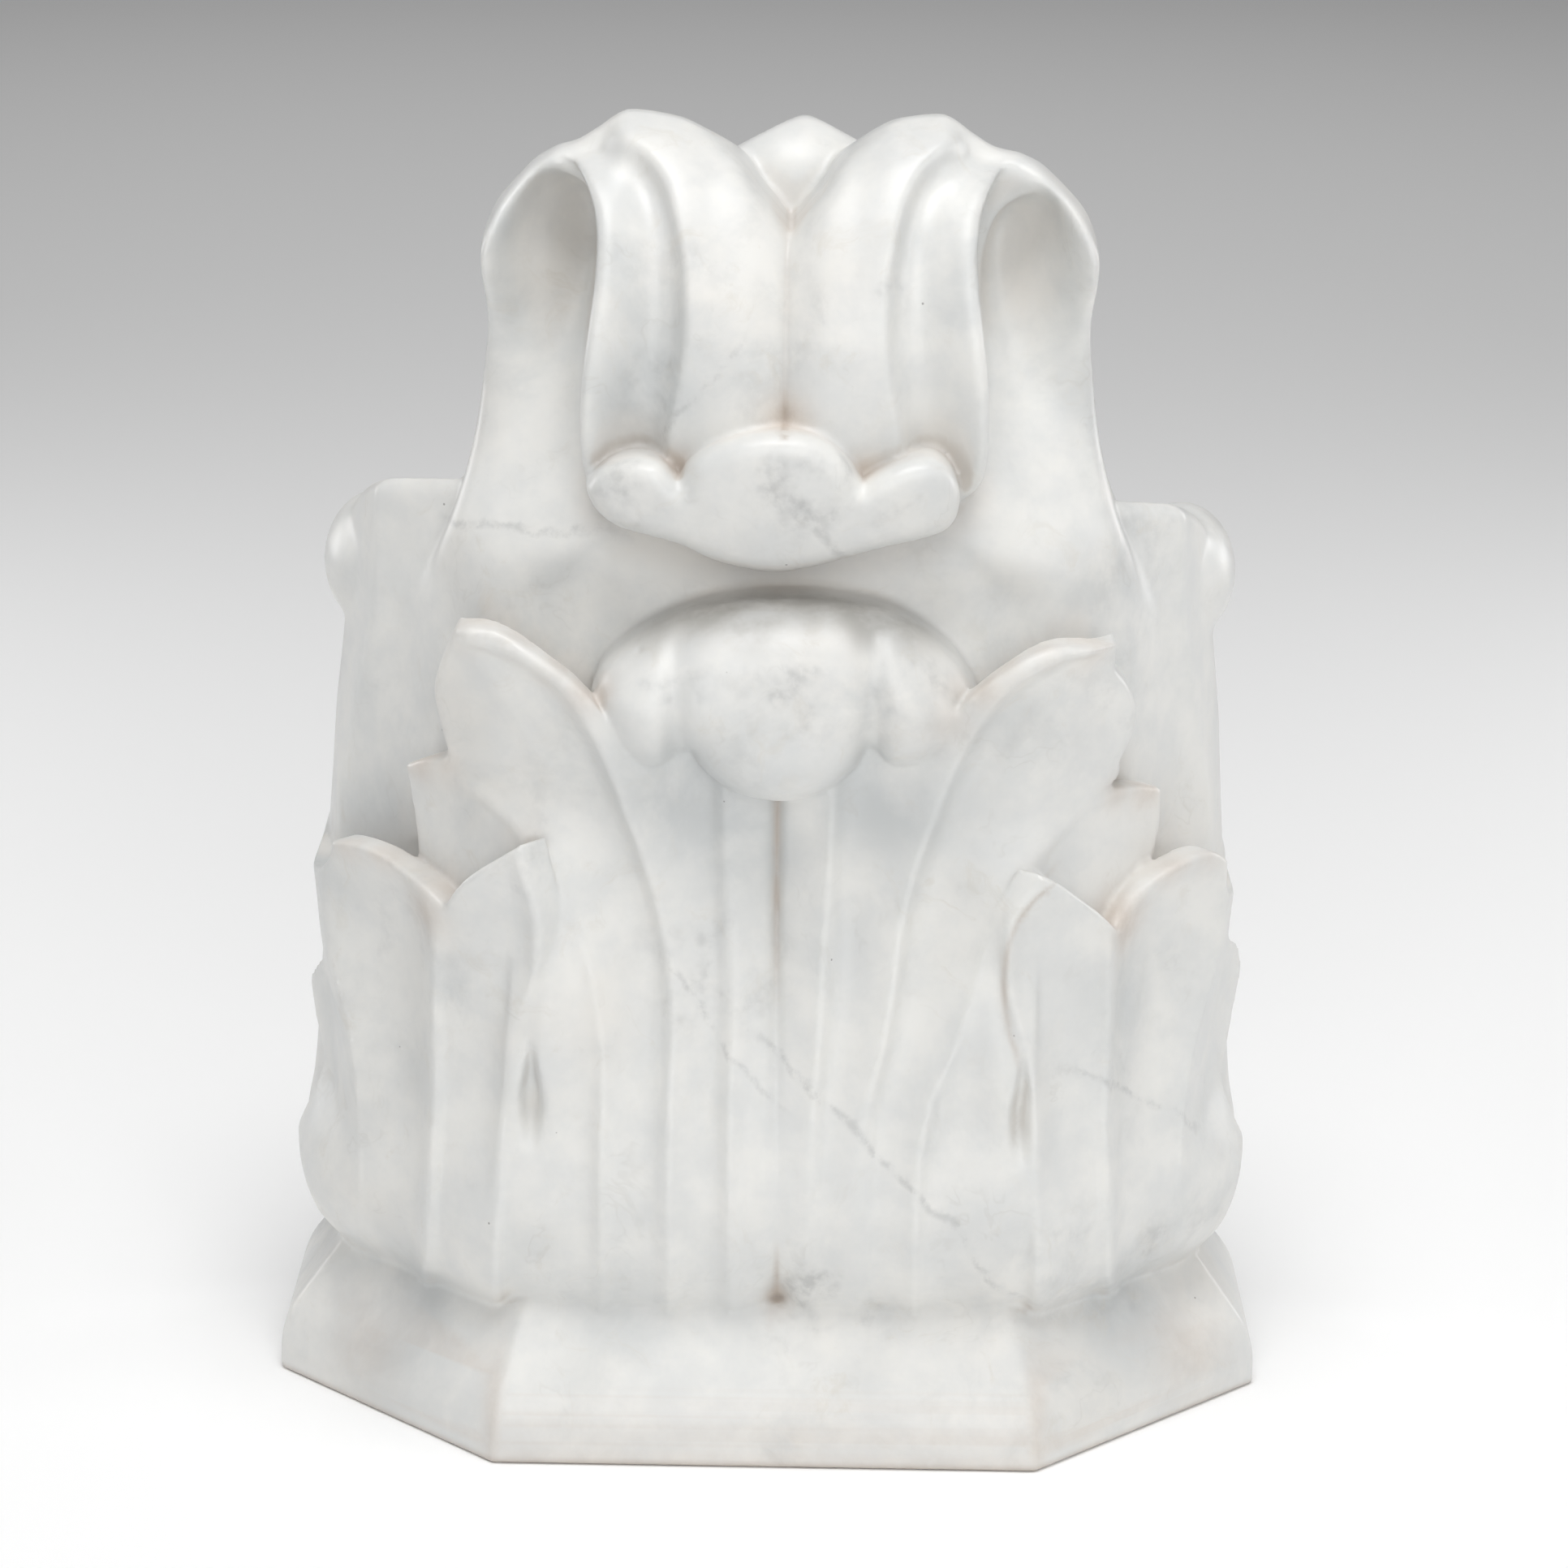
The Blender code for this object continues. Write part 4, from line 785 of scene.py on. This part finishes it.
def gather_block():
    """The stone's surface, gathered on a grid that is worked out only near the surface."""
    low = np.array([-WIDTH / 2, 0.0, 0.0]) - MARGIN * CELL
    high = np.array([WIDTH / 2, DEPTH, 498.0]) + MARGIN * CELL
    blocks = np.ceil((high - low) / (CELL * BLOCK)).astype(int)
    centres = [low[i] + CELL * (BLOCK * np.arange(blocks[i]) + (BLOCK - 1) / 2) for i in range(3)]
    rough = corbel(*np.meshgrid(*centres, indexing="ij", sparse=True))
    near = np.argwhere(np.abs(rough) < NEAR)
    field = np.repeat(rough.astype(np.float32)[..., None], BLOCK ** 3, axis=3)
    inner = np.indices((BLOCK,) * 3).reshape(3, -1).T
    for start in range(0, len(near), 4000):
        some = near[start:start + 4000]
        places = (low + CELL * (some[:, None, :] * BLOCK + inner[None])).astype(np.float32)
        field[tuple(some.T)] = corbel(*np.moveaxis(places, 2, 0))
    field = field.reshape(*blocks, BLOCK, BLOCK, BLOCK).transpose(0, 3, 1, 4, 2, 5).reshape(blocks * BLOCK)
    points, quads = outer_shell(*gather_surface(unpinch(field), low, CELL))
    points = np.clip(relax(points, quads), (-WIDTH / 2, 0.0, 0.0), (WIDTH / 2, DEPTH, TOP))
    return points, quads


def to_metres(points):
    """From x, d and z in millimetres to the object's own frame."""
    return (np.asarray(points, float) - (0, DEPTH / 2, 0)) * MM


def normals_of(points, step=0.4):
    """Unit normals of the form at these points, in millimetres."""
    columns = []
    for axis in range(3):
        shift = np.zeros(3)
        shift[axis] = step
        columns.append(corbel(*(points + shift).T) - corbel(*(points - shift).T))
    normals = np.stack(columns, axis=1)
    return normals / (np.linalg.norm(normals, axis=1, keepdims=True) + 1e-9)


def enclosure(points, normals, reach):
    """How much stone stands round each point: 0 on an open face, up to 1 in a deep fold."""
    free = corbel(*(points + normals * reach).T)
    return np.clip(1.0 - free / reach, 0.0, 1.0)


def soften(values, mesh, rounds=3):
    """Values at a mesh's points, averaged a few times with those of their neighbours."""
    edges = np.empty(2 * len(mesh.edges), int)
    mesh.edges.foreach_get("vertices", edges)
    ends = np.concatenate((edges.reshape(-1, 2), edges.reshape(-1, 2)[:, ::-1]))
    shares = np.bincount(ends[:, 0], minlength=len(values)) + 1
    for _ in range(rounds):
        values = (values + np.bincount(ends[:, 0], values[ends[:, 1]], len(values))) / shares
    return values


def seam(points):
    """1 along the middle valleys, with less in the right inner groove and the eyes: brown dirt, and
    painted shade for the valley bottoms.
    """
    x, d, z = points.T
    lower = np.exp(-((x - MIDRIB(z)) / 1.2) ** 2) * (
        ramp(z, 165, 215) * (1 - ramp(z, 250, 256)) + ramp(z, 46, 52) * (1 - ramp(z, 62, 90)))
    groove = 0.7 * np.exp(-((x - GROOVE_RIGHT(z)) / 1.3) ** 2)
    groove = groove * ramp(z, 150, 165) * (1 - ramp(z, 222, 232))
    upper = np.exp(-((x - DROOP_MIDDLE) / 1.2) ** 2) * ramp(z, 386, 390) * (1 - ramp(z, 452, 462))
    upper = upper * (0.3 + 0.7 * (1 - ramp(z, 392, 414)))
    eyes = sum(np.exp(-((x - at_x) / 3.0) ** 2 - ((z - at_z + 6) / 7.0) ** 2) for at_x, at_z in EYES)
    return np.where(d < 100, np.maximum(lower, upper) + groove + 0.25 * eyes, 0.0)


def stains(points):
    """1 where patina lies thickest: in a few corners, and along the plinth's two front arrises."""
    x, d, z = points.T
    arris = np.exp(-((np.abs(x) - FRONT_HALF) / 4.0) ** 2 - (d / 40.0) ** 2)
    amount = 0.45 * arris * (1 - ramp(z, 40, 54))
    for middle, reach, strength in STAINED:
        away = np.linalg.norm(points - middle, axis=1) / reach
        amount = np.maximum(amount, strength * np.exp(-away ** 2))
    return amount


def soot(points):
    """1 along the top of the bulb, falling to 0 below it: the lip's shadow painted there, with grey dust.
    """
    x, d, z = points.T
    depth = -BULB(x, z) + 2.5 * np.sin(x / 7.0) + 1.5 * np.sin(x / 3.1 + 1.0)
    top = np.exp(-(np.maximum(depth, 0) / 10.0) ** 2) * ramp(z, 302, 321)
    return top * (1 - ramp(BULB(x, z), 0.0, 1.5)) * (1 - ramp(d, 38, 56))


def carve_corbel(name):
    """The carved block as one mesh, with its folds, stains, the dirt and painted shade along its valleys,
    and the painted shadow and dust on the bulb's top marked.
    """
    points, quads = gather_block()
    mesh = bpy.data.meshes.new(name + "_grid")
    mesh.from_pydata(to_metres(points).tolist(), [], quads.tolist())
    obj = bpy.data.objects.new(name, mesh)
    bpy.context.scene.collection.objects.link(obj)
    thin = obj.modifiers.new("thin", "DECIMATE")
    thin.ratio = min(1.0, TARGET_TRIANGLES / (2 * len(quads)))
    thinned = bpy.data.meshes.new_from_object(obj.evaluated_get(bpy.context.evaluated_depsgraph_get()))
    obj.modifiers.clear()
    obj.data = thinned
    thinned.name = name
    bpy.data.meshes.remove(mesh)
    co = np.empty(3 * len(thinned.vertices))
    thinned.vertices.foreach_get("co", co)
    places = co.reshape(-1, 3) / MM + (0, DEPTH / 2, 0)
    normals = normals_of(places)
    marks = {key: soften(enclosure(places, normals, reach), thinned) for key, reach in FOLD_REACH.items()}
    marks.update(seam=seam(places), stain=stains(places), soot=soot(places))
    for label, values in marks.items():
        thinned.attributes.new(label, "FLOAT", "POINT").data.foreach_set("value", values)
    thinned.shade_smooth()
    return obj


# ------------ marble

def node(tree, kind, inputs=None, **settings):
    """Adds a shader node; inputs are values or sockets to link."""
    made = tree.nodes.new(kind)
    for key, value in settings.items():
        setattr(made, key, value)
    for key, value in (inputs or {}).items():
        if isinstance(value, bpy.types.NodeSocket):
            tree.links.new(value, made.inputs[key])
        else:
            made.inputs[key].default_value = value
    return made


def noise(tree, place, scale, detail, roughness, distortion=0.0, output="Fac"):
    """Noise of this scale per metre, from 0 to 1."""
    settings = {"Scale": scale, "Detail": detail, "Roughness": roughness, "Distortion": distortion}
    return node(tree, "ShaderNodeTexNoise", {"Vector": place, **settings}).outputs[output]


def maths(tree, operation, *values):
    """A Math node."""
    return node(tree, "ShaderNodeMath", dict(enumerate(values)), operation=operation).outputs[0]


def times(tree, first, second):
    """The product of two values."""
    return maths(tree, "MULTIPLY", first, second)


def vector_maths(tree, operation, output, *values):
    """A Vector Math node's output of this name."""
    return node(tree, "ShaderNodeVectorMath", dict(enumerate(values)), operation=operation).outputs[output]


def marked(tree, label):
    """A value that carve_corbel has marked on the mesh's points."""
    return node(tree, "ShaderNodeAttribute", attribute_name=label).outputs["Fac"]


def between(tree, value, low, high, out_low=0.0, out_high=1.0):
    """Maps low..high to out_low..out_high, smoothly and clamped."""
    inputs = {"Value": value, "From Min": low, "From Max": high, "To Min": out_low, "To Max": out_high}
    return node(tree, "ShaderNodeMapRange", inputs, interpolation_type="SMOOTHSTEP").outputs["Result"]


def tint(tree, amount, base, colour):
    """Mixes base with a colour by amount."""
    inputs = {"Factor": amount, 6: base, 7: colour}
    return node(tree, "ShaderNodeMix", inputs, data_type="RGBA").outputs[2]


def sheet(tree, place, wobble, point, across, thickness, reach):
    """A vein: a thin wavy sheet through point, square to across, that fades out beyond its reach."""
    away = vector_maths(tree, "SUBTRACT", "Vector", place, [c * MM for c in point])
    offset = vector_maths(tree, "DOT_PRODUCT", "Value", away, Vector(across).normalized())
    line = maths(tree, "ABSOLUTE", maths(tree, "ADD", offset, wobble))
    length = vector_maths(tree, "LENGTH", "Value", away)
    fade = between(tree, length, 0.5 * reach * MM, reach * MM, 1.0, 0.0)
    return times(tree, between(tree, line, 0.0, thickness * MM, 1.0, 0.0), fade)


def near_any(tree, place, places):
    """1 close to any of these places, falling to 0 at their reach in millimetres."""
    amount = 0.0
    for point, reach in places:
        away = vector_maths(tree, "DISTANCE", "Value", place, [c * MM for c in point])
        near = between(tree, away, 0.2 * reach * MM, reach * MM, 1.0, 0.0)
        amount = maths(tree, "MAXIMUM", amount, near)
    return amount


def marble():
    """White marble with clouds, veins, flecks and pits, brown patina in its folds, and grey dust, with
    painted shade: grey under the bulb, brown in the creases and along the bottom edge, and the lip's
    shadow on the bulb's top.
    """
    material = bpy.data.materials.new("veined_marble")
    material.use_nodes = True
    tree = material.node_tree
    shader = tree.nodes["Principled BSDF"]
    place = tree.nodes.new("ShaderNodeTexCoord").outputs["Object"]

    cloud = noise(tree, place, 8.0, 3.0, 0.55, 0.6)
    patches = noise(tree, place, 22.0, 5.0, 0.62, 0.3)
    grain = noise(tree, place, 40.0, 4.0, 0.6)
    speckle = noise(tree, place, 130.0, 4.0, 0.65)
    warp = noise(tree, place, 14.0, 4.0, 0.55, output="Color")
    bend = node(tree, "ShaderNodeVectorMath", {0: warp, "Scale": 0.06}, operation="SCALE")
    bent = vector_maths(tree, "ADD", "Vector", place, bend.outputs[0])
    wobble = times(tree, maths(tree, "SUBTRACT", noise(tree, place, 20.0, 6.0, 0.6), 0.5), 0.03)

    colour = tint(tree, between(tree, grain, 0.3, 0.7), WHITE_DULL, WHITE)
    warmth = noise(tree, place, 11.0, 3.0, 0.5)
    colour = tint(tree, between(tree, warmth, 0.5, 0.8, 0.0, 0.6), colour, WHITE_WARM)
    grey_amount = times(tree, between(tree, patches, 0.42, 0.75), between(tree, cloud, 0.38, 0.62, 0.1, 0.8))
    # grey clouds at the listed places; those under the bulb are painted shade
    clouds_and_shade = times(tree, near_any(tree, place, GREY_CLOUDS_AND_SHADE), between(tree, patches, 0.3, 0.6, 0.25, 1.0))
    grey_amount = maths(tree, "MAXIMUM", grey_amount, clouds_and_shade)
    colour = tint(tree, grey_amount, colour, GREY_SOFT)
    mottle = noise(tree, bent, 55.0, 5.0, 0.7, 0.8)
    mottled = times(tree, between(tree, mottle, 0.55, 0.72), between(tree, warmth, 0.35, 0.6, 0.15, 1.0))
    colour = tint(tree, times(tree, mottled, 0.35), colour, BEIGE)
    wisp = maths(tree, "ABSOLUTE", maths(tree, "SUBTRACT", noise(tree, bent, 17.0, 4.0, 0.65, 0.4), 0.5))
    wisps = times(tree, between(tree, wisp, 0.0, 0.018, 1.0, 0.0), between(tree, patches, 0.5, 0.66))
    colour = tint(tree, times(tree, wisps, 0.16), colour, GREY_WARM)
    ridge = maths(tree, "ABSOLUTE", maths(tree, "SUBTRACT", noise(tree, bent, 6.0, 3.0, 0.6), 0.5))
    vein = times(tree, between(tree, ridge, 0.0, 0.03, 1.0, 0.0), between(tree, cloud, 0.48, 0.66, 0, 0.5))
    for point, across, thickness, reach in VEINS:
        vein = maths(tree, "MAXIMUM", vein, sheet(tree, place, wobble, point, across, thickness, reach))
    broken = between(tree, speckle, 0.40, 0.62, 0.12, 1.0)
    colour = tint(tree, times(tree, times(tree, vein, broken), 0.34), colour, GREY_DEEP)
    blots = between(tree, noise(tree, place, 48.0, 3.0, 0.55), 0.46, 0.72)
    grit = between(tree, noise(tree, place, 210.0, 3.0, 0.6), 0.35, 0.65, 0.35, 1.0)
    flecks = times(tree, times(tree, blots, grit), near_any(tree, place, SPECKLED))
    colour = tint(tree, times(tree, flecks, 0.55), colour, GREY_DEEP)
    pit = node(tree, "ShaderNodeTexVoronoi", {"Vector": place, "Scale": 38.0}).outputs["Distance"]
    colour = tint(tree, between(tree, pit, 0.012, 0.022, 0.6, 0.0), colour, PIT_DARK)

    fold = marked(tree, "fold")
    deep = marked(tree, "deep_fold")
    stain = marked(tree, "stain")
    stained = times(tree, stain, between(tree, speckle, 0.3, 0.65, 0.3, 1.0))
    # brown patina in the deepest folds, made strong enough to stand as painted shade at the bottom of the
    # creases
    fold_patina_and_shade = times(tree, between(tree, fold, 0.66, 1.0), between(tree, cloud, 0.3, 0.65, 0.15, 0.45))
    colour = tint(tree, times(tree, between(tree, deep, 0.5, 0.9), 0.14), colour, PATINA_PALE)
    colour = tint(tree, times(tree, stain, 0.55), colour, PATINA_PALE)
    colour = tint(tree, times(tree, stained, 0.4), colour, BROWN_PATINA_AND_SHADE)
    # painted shadow of the lip on the bulb's top, with grey dust in it
    shadow_and_dust = marked(tree, "soot")
    colour = tint(tree, times(tree, shadow_and_dust, between(tree, grain, 0.3, 0.6, 0.35, 0.8)), colour, SHADOW_AND_DUST_GREY)
    colour = tint(tree, fold_patina_and_shade, colour, BROWN_PATINA_AND_SHADE)
    # a brown line along the valley bottoms: dirt, and painted shade that the fine creases are too narrow
    # to cast
    line = marked(tree, "seam")
    colour = tint(tree, times(tree, line, between(tree, grain, 0.3, 0.6, 0.3, 0.75)), colour, BROWN_PATINA_AND_SHADE)
    # painted contact shadow: darker brown in the lowest 4 mm of the stone
    height = node(tree, "ShaderNodeSeparateXYZ", {"Vector": place}).outputs["Z"]
    colour = tint(tree, between(tree, height, 0.0, 0.004, 0.6, 0.0), colour, BROWN_PATINA_AND_SHADE)
    tree.links.new(colour, shader.inputs["Base Color"])
    tree.links.new(between(tree, grain, 0.3, 0.7, 0.34, 0.44), shader.inputs["Roughness"])
    for key, value in GLOW.items():
        shader.inputs[key].default_value = value
    return material


# ------------ studio

def plain(name, colour, roughness):
    """A plain matt material."""
    material = bpy.data.materials.new(name)
    material.use_nodes = True
    shader = material.node_tree.nodes["Principled BSDF"]
    shader.inputs["Base Color"].default_value = colour
    shader.inputs["Roughness"].default_value = roughness
    return material


def add_floor():
    """A flat pale floor under the object."""
    bpy.ops.mesh.primitive_plane_add(size=12.0, location=(0, 0, 0))
    floor = bpy.context.object
    floor.name = "floor"
    floor.data.materials.append(plain("floor_paper", (0.98, 0.98, 0.98, 1), 0.9))


def add_light(name, place, size, power, target=AIM):
    """A soft square light that looks at target."""
    lamp = bpy.data.lights.new(name, "AREA")
    lamp.shape = "SQUARE"
    lamp.size = size
    lamp.energy = power
    obj = bpy.data.objects.new(name, lamp)
    obj.location = place
    obj.rotation_euler = (Vector(target) - Vector(place)).to_track_quat("-Z", "Y").to_euler()
    bpy.context.scene.collection.objects.link(obj)


def add_camera():
    """The camera, from its pitch, yaw and roll."""
    pitch, yaw, roll = np.radians((CAMERA_PITCH, CAMERA_YAW, CAMERA_ROLL))
    ahead = Vector((-np.sin(yaw) * np.cos(pitch), np.cos(yaw) * np.cos(pitch), -np.sin(pitch)))
    right = Vector((np.cos(yaw), np.sin(yaw), 0.0))
    up = right.cross(ahead)
    across = right * np.cos(roll) + up * np.sin(roll)
    upward = up * np.cos(roll) - right * np.sin(roll)
    data = bpy.data.cameras.new("camera")
    data.sensor_width = 36.0
    data.lens = CAMERA_LENS
    camera = bpy.data.objects.new("camera", data)
    turn = Matrix((across, upward, -ahead)).transposed().to_4x4()
    camera.matrix_world = Matrix.Translation(CAMERA_PLACE) @ turn
    bpy.context.scene.collection.objects.link(camera)
    bpy.context.scene.camera = camera


def add_world():
    """Even pale light from all round."""
    world = bpy.data.worlds.new("studio")
    world.use_nodes = True
    background = world.node_tree.nodes["Background"]
    background.inputs["Color"].default_value = (1.0, 1.0, 1.0, 1.0)
    background.inputs["Strength"].default_value = WORLD_BRIGHTNESS
    bpy.context.scene.world = world


corbel_piece = carve_corbel("marble_corbel")
corbel_piece.data.materials.append(marble())
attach(corbel_piece, "root")
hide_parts("corbel_block")

add_floor()
add_world()
for light in LIGHTS:
    add_light(*light)
add_camera()
bpy.context.scene.view_settings.view_transform = "Standard"
